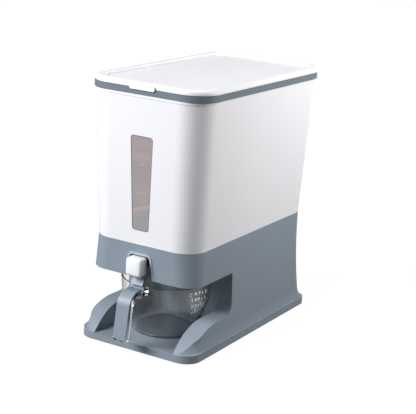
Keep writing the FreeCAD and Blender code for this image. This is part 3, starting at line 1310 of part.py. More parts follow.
def cup_body():
    shell_out = cup_revolve("cup_outer", "0", "0")
    shell_in = cup_revolve("cup_inner", S.cup_wall, S.past)
    root = f"({CUP_Y}-{S.cup_rim_radius}+{S.cup_wall}+{S.past})"
    path = handle_path(f"({S.strap_plate}+{S.seat_gap})", S.handle_depth, S.handle_arm,
                       f"({CUP_FOOT}+{S.handle_low})", root)
    handle = handle_solid("handle_frame", path, S.handle_width, S.handle_tip_round, S.handle_edge_round)
    solid = cut("cup_hollow", fuse("cup_whole", shell_out, handle), shell_in)
    keep(cut("cup_finished", solid, *drain_slots()), "cup_body")


def drain_slots():
    """Rows of upright slots through the right-hand wall of the cup."""
    slots = []
    columns = int(size(S.slot_columns))
    rows = int(size(S.slot_rows))
    for row in range(rows):
        step = size(S.slot_step) * (1 - size(S.slot_fan) * (rows - 1 - row) / (rows - 1))
        for column in range(columns):
            item = doc.addObject("Part::Box", f"drain_{row}_{column}")
            turn = size(S.slot_turn) + (column - (columns - 1) / 2) * step
            item.setExpression("Length", f"{S.slot_reach_in}+{S.slot_reach_out}")
            item.setExpression("Width", S.slot_width)
            item.setExpression("Height", S.slot_tall)
            spin = FreeCAD.Rotation(FreeCAD.Vector(0, 0, 1), turn)
            start = spin.multVec(FreeCAD.Vector(size(f"{S.cup_shoulder_radius}-{S.slot_reach_in}"),
                                                -size(S.slot_width) / 2, 0))
            height = size(f"{CUP_FOOT}+{S.slot_low}-{S.slot_tall}/2") + row * size(S.slot_row_pitch)
            item.Placement = FreeCAD.Placement(FreeCAD.Vector(start.x, start.y + size(CUP_Y), height), spin)
            slots.append(item)
    return slots


def handle_cover():
    path = handle_path("0", S.strap_plate, S.strap_plate, STRAP_LOW, f"({REST_NOSE_Y}-{S.strap_stop})")
    keep(handle_solid("strap", path, S.strap_width, S.strap_tip_round), "handle_cover")


def thumb_rest():
    """Sloping tab that stands on the handle's arm just in front of the cup's rim."""
    body = new_body("rest")
    arm_z = f"({CUP_FOOT}+{S.handle_top}-{S.strap_plate})"
    crown_y = f"({CUP_Y}-{S.cup_rim_radius}-{S.rest_crown})"
    low_z = f"({CUP_FOOT}+{S.rest_low})"
    high_z = f"({CUP_FOOT}+{S.rest_high})"
    corners = [
        (REST_NOSE_Y, low_z, None),
        (f"{REST_NOSE_Y}+{S.rest_plate}", low_z, None),
        (crown_y, f"({low_z}+{high_z})/2", None),
        (crown_y, arm_z, None),
        (f"{crown_y}+{S.rest_foot}", arm_z, None),
        (f"{crown_y}+{S.rest_plate}", high_z, None),
        (crown_y, high_z, None),
    ]
    sketch = outline(body, "rest_side", "YZ_Plane", "0", corners)
    solid = pad(body, sketch, S.rest_width, both_ways=True)
    top = size(high_z)
    round_edges(body, solid, S.rest_round, lambda place: abs(place.z - top) < NEAR)
    keep(body, "thumb_rest")


# ---------------------------------------------------------------- build, check and write

def build():
    base_shell()
    bottom_cover()
    bottom_screws()
    rubber_feet()
    outlet_chute()
    gate_track()
    gate_cover()
    gate_screws()
    gate_slide()
    button_cap()
    return_spring("left", "-1")
    return_spring("right", "1")
    bin_shell()
    bin_screws()
    window_pane()
    window_seal()
    hopper_funnel()
    rim_band()
    hinge_pins()
    lid_shell()
    lid_gasket()
    cup_body()
    handle_cover()
    thumb_rest()
    doc.recompute()


def check():
    for item in doc.Objects:
        bad = {"Invalid", "Error"} & set(item.State)
        if bad:
            raise RuntimeError(f"{item.Name} ({item.Label}) is {sorted(bad)}")
    for item in nodes:
        if item.Shape.isNull() or not item.Shape.isValid() or not item.Shape.Solids:
            raise RuntimeError(f"{item.Label} has no valid solid")


def write():
    os.makedirs("parts", exist_ok=True)
    for item in nodes:
        item.Shape.exportStep(f"parts/{item.Label}.step")
        edges = item.Shape.BoundBox
        print(f"{item.Label}: {len(item.Shape.Solids)} solid(s), {item.Shape.Volume / 1000:.1f} cm3, "
              f"x {edges.XMin:.1f}..{edges.XMax:.1f} y {edges.YMin:.1f}..{edges.YMax:.1f} "
              f"z {edges.ZMin:.1f}..{edges.ZMax:.1f}")


build()
check()
write()
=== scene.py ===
import math

import bmesh
import bpy
import numpy as np
from mathutils import Matrix, Vector


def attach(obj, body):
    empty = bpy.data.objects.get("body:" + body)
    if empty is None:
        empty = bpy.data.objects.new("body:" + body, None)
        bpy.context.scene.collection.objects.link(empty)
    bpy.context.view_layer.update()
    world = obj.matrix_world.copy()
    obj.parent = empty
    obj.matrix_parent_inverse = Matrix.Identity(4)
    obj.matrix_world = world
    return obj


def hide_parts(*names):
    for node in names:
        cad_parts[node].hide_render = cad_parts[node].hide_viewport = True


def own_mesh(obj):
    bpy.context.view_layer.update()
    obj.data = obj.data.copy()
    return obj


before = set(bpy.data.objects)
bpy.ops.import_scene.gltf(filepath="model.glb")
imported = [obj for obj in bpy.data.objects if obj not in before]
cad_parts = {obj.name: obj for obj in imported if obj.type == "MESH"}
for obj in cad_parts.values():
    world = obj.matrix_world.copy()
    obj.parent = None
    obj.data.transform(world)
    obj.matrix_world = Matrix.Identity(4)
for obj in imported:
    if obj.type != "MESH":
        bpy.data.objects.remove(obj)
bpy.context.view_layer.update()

bl_info = {
    "name": "Rice Dispenser Finisher",
    "version": (1, 0, 0),
    "blender": (4, 5, 0),
    "location": "View3D > Sidebar > Dispenser",
    "description": "Gives a packed rice dispenser its plastics, clear pieces, fittings and studio",
    "category": "Object",
}

WHITE = (1, 1, 1)

# Noise textures: most of their values lie between these two.
NOISE_LOW, NOISE_HIGH = 0.3, 0.7

# Moulded plastic: noise scales of its drift of colour, rubbed sheen and spark-eroded grain.
DRIFT_SCALE, RUB_SCALE, GRAIN_SCALE = 14.0, 55.0, 1600.0
RUB_CHANGE = 0.05
GRAIN_STRENGTH = 0.6
WHITE_DRIFT = 0.008

# Cup: faint flow waves of the moulding.
CUP_ROUGHNESS = 0.02
FLOW_SCALE, FLOW_STRENGTH, FLOW_DEPTH = 40.0, 0.3, 0.0002

# Window pane: heights are in metres above the floor; those of the band and the foot are at the middle
# plane, and climb by the slope across the pane.
BAND_SLOPE = 0.42
BAND_LOW, BAND_HIGH, BAND_SOFT = 0.1995, 0.2050, 0.0009
BAND_STRENGTH = 0.35
FOOT_START, FOOT_END = 0.190, 0.197
FOOT_GREY = (0.46, 0.445, 0.45)
LEVEL_MARKS = ((0.2635, -0.002, 0.006), (0.2240, -0.006, 0.009))  # height, left end, right end
MARK_HALF, MARK_SOFT = 0.0004, 0.002
PALE_LIFT = 1.45
# Painted reflection on the window pane: turn, stretch, scale and share of its slanting lighter and
# darker streaks.
REFLECTION_STREAK_TURN, REFLECTION_STREAK_STRETCH, REFLECTION_STREAK_SCALE, REFLECTION_STREAK_CHANGE = math.radians(52), 9.0, 6.0, 0.07
PANE_CLEARNESS, PANE_ROUGHNESS = 0.35, 0.14

# Steel: fine drawn streaks.
STEEL_SCALE, STEEL_CHANGE = 900.0, 0.08

# Button: cells along each edge of its cube.
CUBE_CELLS = 24

# How near two points are, in metres, to be made one.
BUTTON_MERGE, SPRING_MERGE = 0.000005, 0.000002

# Recess lip: points along an upper corner, a side and the bead's profile, the profile's two ends in
# degrees, and the share of its size that is left where the lip is thinnest.
CORNER_POINTS, SIDE_POINTS, PROFILE_POINTS = 13, 16, 15
PROFILE_START, PROFILE_END = -30, 210
THIN_SHARE = 0.1

# Head's front wall: height of its foot, how far forward it is there, its slope and its bend.
HEAD_FOOT, HEAD_REACH, HEAD_SLOPE, HEAD_BEND = 0.105, 0.14956, 0.0435, 0.233

# Studio: each lamp's name, place, size, power setting and colour.
LAMPS = (
    ("front_lamp", (-1.04, -1.85, 1.40), (1.2, 1.0), "key_power", (0.97, 0.985, 1.0)),
    ("side_lamp", (0.68, 0.27, 0.60), (0.4, 0.4), "side_power", WHITE),
    ("top_lamp", (-0.20, 0.10, 1.70), (1.2, 1.2), "top_power", WHITE),
    ("back_lamp", (-0.20, 2.20, 0.28), (1.2, 0.4), "back_power", WHITE),
)
LAMP_AIM = (0, 0, 0.18)
SENSOR_WIDTH = 36.0

# Floor: middle to edge, the paper's grey and dullness, and the distances from the middle between which
# its glow rises to full white.
FLOOR_REACH = 9.0
FLOOR_GREY, FLOOR_ROUGHNESS = 0.12, 0.9
FADE_START, FADE_END = 0.45, 1.1


# ---------------------------------------------------------------- settings

class HousingFinish(bpy.types.PropertyGroup):
    """Blue-grey moulded pieces: housing, rim band, handle strap and thumb rest."""
    colour: bpy.props.FloatVectorProperty(
        name="Colour", description="Blue-grey of the housing plastic", subtype="COLOR",
        size=3, min=0, max=1, default=(0.225, 0.268, 0.317))
    roughness: bpy.props.FloatProperty(
        name="Roughness", description="How satin the housing looks", min=0, max=1, default=0.46)
    # Painted shade: the rim band gets the housing plastic darkened by this share, standing in for the
    # shadow under the lid.
    band_shade_share: bpy.props.FloatProperty(
        name="Band share", description="Brightness of the rim band beside that of the housing",
        min=0, max=1, default=0.64)
    grain: bpy.props.FloatProperty(
        name="Grain", description="Depth of the moulded grain", subtype="DISTANCE", unit="LENGTH",
        default=0.00002)


class BinFinish(bpy.types.PropertyGroup):
    """White moulded pieces: bin and lid."""
    colour: bpy.props.FloatVectorProperty(
        name="Colour", description="White of the bin plastic", subtype="COLOR",
        size=3, min=0, max=1, default=(0.79, 0.79, 0.815))
    roughness: bpy.props.FloatProperty(
        name="Roughness", description="How satin the bin looks", min=0, max=1, default=0.48)
    grain: bpy.props.FloatProperty(
        name="Grain", description="Depth of the moulded grain", subtype="DISTANCE", unit="LENGTH",
        default=0.00001)


class ClearFinish(bpy.types.PropertyGroup):
    """See-through pieces: cup and window."""
    cup_tint: bpy.props.FloatVectorProperty(
        name="Cup tint", description="What the cup's plastic lets through", subtype="COLOR",
        size=3, min=0, max=1, default=(0.975, 0.98, 0.985))
    cup_shade: bpy.props.FloatProperty(
        name="Cup shade", description="Share of a lamp's light that passes each face of the cup",
        min=0, max=1, default=0.36)
    window_tint: bpy.props.FloatVectorProperty(
        name="Window tint", description="Smoky tint of the window", subtype="COLOR",
        size=3, min=0, max=1, default=(0.50, 0.435, 0.44))
    ior: bpy.props.FloatProperty(
        name="IOR", description="How strongly the clear plastic bends light",
        min=1, max=2, default=1.49)


class ButtonShape(bpy.types.PropertyGroup):
    """Soft-edged front button."""
    half_width: bpy.props.FloatProperty(
        name="Half width", description="Middle plane to the button's side", subtype="DISTANCE",
        unit="LENGTH", default=0.0121)
    low: bpy.props.FloatProperty(
        name="Low", description="Floor to the button's lower face", subtype="DISTANCE",
        unit="LENGTH", default=0.1098)
    high: bpy.props.FloatProperty(
        name="High", description="Floor to the button's upper face", subtype="DISTANCE",
        unit="LENGTH", default=0.1354)
    front: bpy.props.FloatProperty(
        name="Front", description="Place of the button's face, front to back", subtype="DISTANCE",
        unit="LENGTH", default=-0.1665)
    back: bpy.props.FloatProperty(
        name="Back", description="Place of the button's back, front to back", subtype="DISTANCE",
        unit="LENGTH", default=-0.1490)
    squareness: bpy.props.FloatProperty(
        name="Squareness", description="Power of the rounded box: 2 is a ball, more is squarer",
        min=2, default=9)
    draft: bpy.props.FloatProperty(
        name="Draft", description="Share by which the face is smaller than the back", min=0, max=0.5,
        default=0.05)
    colour: bpy.props.FloatVectorProperty(
        name="Colour", description="White of the button", subtype="COLOR", size=3, min=0, max=1,
        default=(0.84, 0.84, 0.87))
    roughness: bpy.props.FloatProperty(
        name="Roughness", description="How satin the button looks", min=0, max=1, default=0.42)
    grain: bpy.props.FloatProperty(
        name="Grain", description="Depth of the moulded grain", subtype="DISTANCE", unit="LENGTH",
        default=0.00002)
    bleed: bpy.props.FloatProperty(
        name="Bleed", description="How far light spreads inside the button", subtype="DISTANCE",
        unit="LENGTH", default=0.013)


class RecessLip(bpy.types.PropertyGroup):
    """Lip round the button's recess."""
    foot_half: bpy.props.FloatProperty(
        name="Foot half width", description="Middle plane to the lip at its foot",
        subtype="DISTANCE", unit="LENGTH", default=0.0215)
    top_half: bpy.props.FloatProperty(
        name="Top half width", description="Middle plane to the lip's upper corner",
        subtype="DISTANCE", unit="LENGTH", default=0.0167)
    foot_height: bpy.props.FloatProperty(
        name="Foot height", description="Floor to the lip's foot", subtype="DISTANCE",
        unit="LENGTH", default=0.1100)
    top_height: bpy.props.FloatProperty(
        name="Top height", description="Floor to the lip's upper run", subtype="DISTANCE",
        unit="LENGTH", default=0.1378)
    corner: bpy.props.FloatProperty(
        name="Corner", description="Radius of the upper corners", subtype="DISTANCE", unit="LENGTH",
        default=0.006)
    width: bpy.props.FloatProperty(
        name="Width", description="Lip, side to side", subtype="DISTANCE", unit="LENGTH",
        default=0.0036)
    height: bpy.props.FloatProperty(
        name="Height", description="Lip proud of the head", subtype="DISTANCE", unit="LENGTH",
        default=0.0003)
    fade_low: bpy.props.FloatProperty(
        name="Fade low", description="Height below which the lip is thinnest",
        subtype="DISTANCE", unit="LENGTH", default=0.112)
    fade_high: bpy.props.FloatProperty(
        name="Fade high", description="Height above which the lip is whole", subtype="DISTANCE",
        unit="LENGTH", default=0.134)


class SpringFit(bpy.types.PropertyGroup):
    """Return springs of the gate."""
    offset: bpy.props.FloatProperty(
        name="Offset", description="Middle plane to each spring's axis", subtype="DISTANCE",
        unit="LENGTH", default=0.040)
    held_end: bpy.props.FloatProperty(
        name="Held end", description="Place of the springs' fixed end, front to back",
        subtype="DISTANCE", unit="LENGTH", default=-0.0325)
    height: bpy.props.FloatProperty(
        name="Height", description="Floor to the springs' axes", subtype="DISTANCE", unit="LENGTH",
        default=0.1153)
    pressed_share: bpy.props.FloatProperty(
        name="Pressed share", description="Share of the length left with the button fully pressed",
        min=0.1, max=1, default=0.571)


class StudioSettings(bpy.types.PropertyGroup):
    """Camera, lamps and floor."""
    camera_place: bpy.props.FloatVectorProperty(
        name="Camera place", description="Where the camera stands", subtype="TRANSLATION",
        unit="LENGTH", size=3, default=(0.87025, -1.50595, 0.64244))
    camera_turn: bpy.props.FloatVectorProperty(
        name="Camera turn", description="Turn about the vertical, tilt down and roll",
        subtype="EULER", unit="ROTATION", size=3, default=(0.5163, 0.2626, 0.0674))
    lens: bpy.props.FloatProperty(
        name="Lens", description="Focal length in millimetres on a 36 mm wide sensor",
        subtype="DISTANCE_CAMERA", default=108.11)
    key_power: bpy.props.FloatProperty(
        name="Front lamp", description="Power of the soft lamp at the front left", unit="POWER",
        default=85.0)
    side_power: bpy.props.FloatProperty(
        name="Side lamp", description="Power of the soft lamp at the right", unit="POWER",
        default=6.4)
    top_power: bpy.props.FloatProperty(
        name="Top lamp", description="Power of the soft lamp overhead", unit="POWER", default=6.0)
    back_power: bpy.props.FloatProperty(
        name="Back lamp", description="Power of the soft lamp behind", unit="POWER", default=16.0)
    room_light: bpy.props.FloatProperty(
        name="Room light", description="Brightness of the light that comes from all around",
        min=0, default=0.05)
    room_gloss: bpy.props.FloatProperty(
        name="Room in gloss", description="Brightness of the room where surfaces mirror it",
        min=0, default=0.13)
    inner_glint: bpy.props.FloatProperty(
        name="Inner glint",
        description="Brightness of the white backdrop mirrored inside clear plastic",
        min=0, max=1, default=0.45)
    floor_lift: bpy.props.FloatProperty(
        name="Floor lift",
        description="Share of white that the floor under the object gives off by itself",
        min=0, max=1, default=0.90)


# ---------------------------------------------------------------- node helpers

def new_material(name):
    """Empty node material: (material, nodes, link function, Principled shader)."""
    material = bpy.data.materials.new(name)
    material.use_nodes = True
    tree = material.node_tree
    tree.nodes.clear()
    shader = tree.nodes.new("ShaderNodeBsdfPrincipled")
    output = tree.nodes.new("ShaderNodeOutputMaterial")
    tree.links.new(shader.outputs["BSDF"], output.inputs["Surface"])
    return material, tree.nodes, tree.links.new, shader


def noise(nodes, link, place, scale, detail=2.0, rough=0.5):
    """Noise texture over Object coordinates: its Fac output."""
    texture = nodes.new("ShaderNodeTexNoise")
    texture.inputs["Scale"].default_value = scale
    texture.inputs["Detail"].default_value = detail
    texture.inputs["Roughness"].default_value = rough
    link(place, texture.inputs["Vector"])
    return texture.outputs["Fac"]


def spread(nodes, link, value, low, high):
    """Map Range from the middle of a noise to low..high."""
    node = nodes.new("ShaderNodeMapRange")
    node.inputs["From Min"].default_value = NOISE_LOW
    node.inputs["From Max"].default_value = NOISE_HIGH
    node.inputs["To Min"].default_value = low
    node.inputs["To Max"].default_value = high
    link(value, node.inputs["Value"])
    return node.outputs["Result"]


def mottled(nodes, link, value, colour, change):
    """Colour that drifts by a small share either way as a noise goes from low to high."""
    ramp = nodes.new("ShaderNodeValToRGB")
    darker, paler = ramp.color_ramp.elements
    darker.position, paler.position = NOISE_LOW, NOISE_HIGH
    darker.color = [part * (1 - change) for part in colour] + [1]
    paler.color = [min(part * (1 + change), 1) for part in colour] + [1]
    link(value, ramp.inputs["Fac"])
    return ramp.outputs["Color"]


def bumped(nodes, link, shader, height, strength, depth):
    """Lets a height from 0 to 1 raise the shader's surface by up to a depth."""
    bump = nodes.new("ShaderNodeBump")
    bump.inputs["Strength"].default_value = strength
    bump.inputs["Distance"].default_value = depth
    link(height, bump.inputs["Height"])
    link(bump.outputs["Normal"], shader.inputs["Normal"])


def moulded_plastic(name, colour, roughness, grain, change=0.02, specular=0.5, bleed=0.0):
    """Injection-moulded plastic: fine spark-eroded grain, slow drift of colour and sheen, and light
    that spreads inside it by the bleed."""
    material, nodes, link, shader = new_material(name)
    place = nodes.new("ShaderNodeTexCoord").outputs["Object"]
    drift = noise(nodes, link, place, DRIFT_SCALE, detail=3.0)
    rub = noise(nodes, link, place, RUB_SCALE, detail=4.0, rough=0.6)
    fine = noise(nodes, link, place, GRAIN_SCALE, rough=0.6)
    sheen = spread(nodes, link, rub, roughness - RUB_CHANGE, roughness + RUB_CHANGE)
    link(mottled(nodes, link, drift, colour, change), shader.inputs["Base Color"])
    link(sheen, shader.inputs["Roughness"])
    bumped(nodes, link, shader, fine, GRAIN_STRENGTH, grain)
    shader.inputs["Specular IOR Level"].default_value = specular
    if bleed:
        shader.inputs["Subsurface Weight"].default_value = 1.0
        shader.inputs["Subsurface Radius"].default_value = (1.0, 1.0, 1.0)
        shader.inputs["Subsurface Scale"].default_value = bleed
    return material


def clear_plastic(name, tint, ior, roughness, shade):
    """Polished clear plastic with faint flow waves; each face lets a share of a lamp's light, the
    shade, shine straight through."""
    material, nodes, link, shader = new_material(name)
    place = nodes.new("ShaderNodeTexCoord").outputs["Object"]
    waves = noise(nodes, link, place, FLOW_SCALE)
    shader.inputs["Base Color"].default_value = list(tint) + [1]
    shader.inputs["Transmission Weight"].default_value = 1.0
    shader.inputs["Roughness"].default_value = roughness
    shader.inputs["IOR"].default_value = ior
    bumped(nodes, link, shader, waves, FLOW_STRENGTH, FLOW_DEPTH)
    surface = shader.outputs["BSDF"].links[0].to_socket
    path = nodes.new("ShaderNodeLightPath")
    through = nodes.new("ShaderNodeBsdfTransparent")
    through.inputs["Color"].default_value = (shade, shade, shade, 1)
    either = nodes.new("ShaderNodeMixShader")
    link(path.outputs["Is Shadow Ray"], either.inputs["Fac"])
    link(shader.outputs["BSDF"], either.inputs[1])
    link(through.outputs["BSDF"], either.inputs[2])
    link(either.outputs["Shader"], surface)
    return material


def tally(nodes, link, kind, first, second):
    """Math node on two values, each a number or an output."""
    node = nodes.new("ShaderNodeMath")
    node.operation = kind
    for socket, value in zip(node.inputs, (first, second)):
        if isinstance(value, (int, float)):
            socket.default_value = value
        else:
            link(value, socket)
    return node.outputs["Value"]


def rise(nodes, link, value, start, end):
    """0 below start, 1 above end, eased between them."""
    node = nodes.new("ShaderNodeMapRange")
    node.interpolation_type = "SMOOTHSTEP"
    node.inputs["From Min"].default_value = start
    node.inputs["From Max"].default_value = end
    link(value, node.inputs["Value"])
    return node.outputs["Result"]


def between(nodes, link, value, low, high, soft):
    """1 where value lies between low and high, eased out over soft on both sides."""
    inside = rise(nodes, link, value, low - soft, low + soft)
    past = rise(nodes, link, value, high - soft, high + soft)
    return tally(nodes, link, "SUBTRACT", inside, past)


def mixed(nodes, link, share, base, target):
    """Colour that goes from a base output to a plain target colour by a share."""
    mix = nodes.new("ShaderNodeMix")
    mix.data_type = "RGBA"
    factor, first, second = (next(socket for socket in mix.inputs if socket.identifier == name)
                             for name in ("Factor_Float", "A_Color", "B_Color"))
    link(share, factor)
    link(base, first)
    second.default_value = (*target, 1)
    return next(socket for socket in mix.outputs if socket.identifier == "Result_Color")


def smoked_pane(name, tint, ior):
    """Smoky half-clear plastic: slanting streaks of painted reflection, a paler slanting band low down
    over a greyer foot, and two fine moulded level marks."""
    material, nodes, link, shader = new_material(name)
    place = nodes.new("ShaderNodeTexCoord").outputs["Object"]
    split = nodes.new("ShaderNodeSeparateXYZ")
    link(place, split.inputs["Vector"])
    across, up = split.outputs["X"], split.outputs["Z"]
    # Painted reflection: slanting streaks that make the pane's colour lighter and darker.
    slant = nodes.new("ShaderNodeMapping")
    slant.inputs["Rotation"].default_value = (0.0, REFLECTION_STREAK_TURN, 0.0)
    slant.inputs["Scale"].default_value = (1.0, 1.0, REFLECTION_STREAK_STRETCH)
    link(place, slant.inputs["Vector"])
    streaks = noise(nodes, link, slant.outputs["Vector"], REFLECTION_STREAK_SCALE, detail=3.0)
    drift = mottled(nodes, link, streaks, tint, REFLECTION_STREAK_CHANGE)
    tilted = tally(nodes, link, "SUBTRACT", up, tally(nodes, link, "MULTIPLY", across, BAND_SLOPE))
    above = rise(nodes, link, tilted, FOOT_START, FOOT_END)
    foot = tally(nodes, link, "SUBTRACT", 1.0, above)
    band = between(nodes, link, tilted, BAND_LOW, BAND_HIGH, BAND_SOFT)
    marks = []
    for height, left, right in LEVEL_MARKS:
        thick = between(nodes, link, up, height - MARK_HALF, height + MARK_HALF, MARK_HALF)
        wide = between(nodes, link, across, left, right, MARK_SOFT)
        marks.append(tally(nodes, link, "MULTIPLY", thick, wide))
    faint = tally(nodes, link, "MULTIPLY", band, BAND_STRENGTH)
    pale = tally(nodes, link, "MAXIMUM", faint, tally(nodes, link, "MAXIMUM", *marks))
    greyed = mixed(nodes, link, foot, drift, FOOT_GREY)
    lit = mixed(nodes, link, pale, greyed, [part * PALE_LIFT for part in tint])
    link(lit, shader.inputs["Base Color"])
    shader.inputs["Transmission Weight"].default_value = PANE_CLEARNESS
    shader.inputs["Roughness"].default_value = PANE_ROUGHNESS
    shader.inputs["IOR"].default_value = ior
    return material


def drawn_metal(name, colour, roughness):
    """Zinc-plated or drawn steel with fine streaks."""
    material, nodes, link, shader = new_material(name)
    place = nodes.new("ShaderNodeTexCoord").outputs["Object"]
    streaks = noise(nodes, link, place, STEEL_SCALE, detail=3.0)
    sheen = spread(nodes, link, streaks, roughness - STEEL_CHANGE, roughness + STEEL_CHANGE)
    link(mottled(nodes, link, streaks, colour, STEEL_CHANGE), shader.inputs["Base Color"])
    link(sheen, shader.inputs["Roughness"])
    shader.inputs["Metallic"].default_value = 1.0
    return material


def paint(node, material):
    """Puts one material on a packed node."""
    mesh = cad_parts[node].data
    mesh.materials.clear()
    mesh.materials.append(material)


# ---------------------------------------------------------------- operators

class FinishHousing(bpy.types.Operator):
    """Blue-grey plastic on the housing and the handle, and on the rim band a copy of it darkened by a
    share as painted shade
    """
    bl_idname = "dispenser.finish_housing"
    bl_label = "Finish Housing"

    def execute(self, context):
        look = context.scene.dispenser_housing
        slate = moulded_plastic("slate_plastic", look.colour, look.roughness, look.grain)
        for node in ("base_shell", "handle_cover", "thumb_rest"):
            paint(node, slate)
        # Painted shade: a darker copy of the housing plastic on the rim band, for the shadow under the
        # lid.
        band_shaded_colour = [part * look.band_shade_share for part in look.colour]
        paint("rim_band", moulded_plastic("slate_band", band_shaded_colour, look.roughness, look.grain))
        return {"FINISHED"}


class FinishBin(bpy.types.Operator):
    """White plastic on the bin and lid"""
    bl_idname = "dispenser.finish_bin"
    bl_label = "Finish Bin"

    def execute(self, context):
        look = context.scene.dispenser_bin
        white = moulded_plastic("white_plastic", look.colour, look.roughness, look.grain, WHITE_DRIFT)
        for node in ("bin_shell", "lid_shell"):
            paint(node, white)
        return {"FINISHED"}


class BuildButton(bpy.types.Operator):
    """Front button as one soft-edged box"""
    bl_idname = "dispenser.build_button"
    bl_label = "Build Button"

    def execute(self, context):
        look = context.scene.dispenser_button
        low = np.array([-look.half_width, look.front, look.low])
        high = np.array([look.half_width, look.back, look.high])
        points, faces = rounded_box(low, high, look.squareness, look.draft)
        button = mesh_piece(context, "front_button", points, faces, BUTTON_MERGE)
        button.data.materials.append(moulded_plastic(
            "button_white", look.colour, look.roughness, look.grain, WHITE_DRIFT, bleed=look.bleed))
        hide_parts("button_cap")
        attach(button, "gate")
        return {"FINISHED"}


def rounded_box(low, high, power, draft):
    """Points and quads of a box with soft edges: each point q of a unit cube's surface is divided by
    (|qx|^p + |qy|^p + |qz|^p)^(1/p), stretched to the box, and drawn in across by up to the draft
    towards the front."""
    row = CUBE_CELLS + 1
    steps = np.linspace(-1.0, 1.0, row)
    flat = np.stack(np.meshgrid(steps, steps, indexing="ij"), axis=2)
    start = np.arange(CUBE_CELLS)[:, None] * row + np.arange(CUBE_CELLS)[None, :]
    quads = np.stack([start, start + row, start + row + 1, start + 1], axis=2).reshape(-1, 4)
    sides = [(axis, end) for axis in range(3) for end in (-1.0, 1.0)]
    cube = np.concatenate([np.insert(flat, axis, end, axis=2).reshape(-1, 3) for axis, end in sides])
    faces = np.concatenate([quads + row * row * count for count in range(len(sides))])
    soft = cube / (np.abs(cube) ** power).sum(axis=1, keepdims=True) ** (1 / power)
    inwards = 1 - draft * (1 - soft[:, 1]) / 2
    soft[:, 0] *= inwards
    soft[:, 2] *= inwards
    return (low + high) / 2 + soft * (high - low) / 2, faces.tolist()


class BuildRecessLip(bpy.types.Operator):
    """Rounded lip moulded round the button's recess"""
    bl_idname = "dispenser.build_recess_lip"
    bl_label = "Build Recess Lip"

    def execute(self, context):
        look = context.scene.dispenser_lip
        route = rounded_route(
            look.foot_half, look.top_half, look.foot_height, look.top_height, look.corner)
        points, faces = bead(route, look.width, look.height, look.fade_low, look.fade_high)
        lip = mesh_piece(context, "recess_lip", points, faces)
        lip.data.materials.append(bpy.data.materials["slate_plastic"])
        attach(lip, "base")
        return {"FINISHED"}


def rounded_route(foot_half, top_half, foot_height, top_height, corner):
    """Points (x, z) up one side of the recess, over its top and down the other.  Each side is a
    straight line; each upper corner is an arc of the corner radius that both lines touch."""
    lean = math.atan2(foot_half - top_half, top_height - foot_height)
    turn = math.pi / 2 - lean
    run = corner * math.tan(turn / 2)
    arc = np.linspace(0.0, turn, CORNER_POINTS)
    centre = np.array([top_half - run, top_height - corner])
    bend = centre + corner * np.stack([np.sin(arc), np.cos(arc)], axis=1)
    down = np.linspace(0.0, 1.0, SIDE_POINTS)[:, None]
    side = bend[-1] * (1 - down) + np.array([foot_half, foot_height]) * down
    half = np.concatenate([bend, side[1:]])
    return np.concatenate([half[::-1] * (-1, 1), half])


def head_face(height):
    """Y of the head's front wall at a height: minus (reach + slope times h - bend times h^2), with h
    measured up from the head's foot."""
    above = height - HEAD_FOOT
    return -(HEAD_REACH + HEAD_SLOPE * above - HEAD_BEND * above ** 2)


def bead(route, width, height, fade_low, fade_high):
    """Half-round bead along a route on the head's front: at each point of the route the profile is
    (width/2 times cos a) across and (height times sin a) outwards, a from -30 to 210 degrees, so that
    its feet run into the wall.  Both shrink from full size at the upper fade height to a tenth at the
    lower one, as 3t^2 - 2t^3."""
    along = np.gradient(route, axis=0)
    along /= np.linalg.norm(along, axis=1, keepdims=True)
    across = np.stack([along[:, 1], -along[:, 0]], axis=1)
    angle = np.radians(np.linspace(PROFILE_START, PROFILE_END, PROFILE_POINTS))
    grown = np.clip((route[:, 1] - fade_low) / (fade_high - fade_low), 0, 1)
    share = (THIN_SHARE + (1 - THIN_SHARE) * (3 * grown ** 2 - 2 * grown ** 3))[:, None]
    flat = route[:, None, :] + across[:, None, :] * (share * width / 2 * np.cos(angle))[:, :, None]
    out = share * height * np.sin(angle)
    points = np.stack([flat[..., 0], head_face(flat[..., 1]) - out, flat[..., 1]], axis=2)
    return points.reshape(-1, 3), tube_faces(*points.shape[:2])


def tube_faces(rings, spokes):
    """Quads between neighbouring rings of a tube, closed round each ring, and the two end faces."""
    start = np.arange(rings - 1)[:, None] * spokes
    spoke = np.arange(spokes)[None, :]
    beside = (spoke + 1) % spokes
    following = start + spokes
    quads = np.stack([start + spoke, start + beside, following + beside, following + spoke], axis=2)
    first = list(range(spokes))[::-1]
    last = list(range((rings - 1) * spokes, rings * spokes))
    return quads.reshape(-1, 4).tolist() + [first, last]


def mesh_piece(context, name, points, faces, merge=0.0):
    """New smooth-shaded object from points and faces: points nearer than the merge distance are made
    one, and the faces are turned outwards."""
    mesh = bpy.data.meshes.new(name)
    mesh.from_pydata(points.tolist(), [], faces)
    shape = bmesh.new()
    shape.from_mesh(mesh)
    if merge:
        bmesh.ops.remove_doubles(shape, verts=shape.verts, dist=merge)
    bmesh.ops.recalc_face_normals(shape, faces=shape.faces)
    shape.to_mesh(mesh)
    shape.free()
    mesh.shade_smooth()
    piece = bpy.data.objects.new(name, mesh)
    context.scene.collection.objects.link(piece)
    return piece


class FinishClear(bpy.types.Operator):
    """Clear plastic on the cup and the window"""
    bl_idname = "dispenser.finish_clear"
    bl_label = "Finish Clear Pieces"

    def execute(self, context):
        look = context.scene.dispenser_clear
        paint("cup_body", clear_plastic(
            "clear_cup", look.cup_tint, look.ior, CUP_ROUGHNESS, look.cup_shade))
        paint("window_pane", smoked_pane("smoke_window", look.window_tint, look.ior))
        paint("window_seal", moulded_plastic(
            "window_edge", (0.16, 0.15, 0.15), roughness=0.5, grain=0.00001))
        return {"FINISHED"}


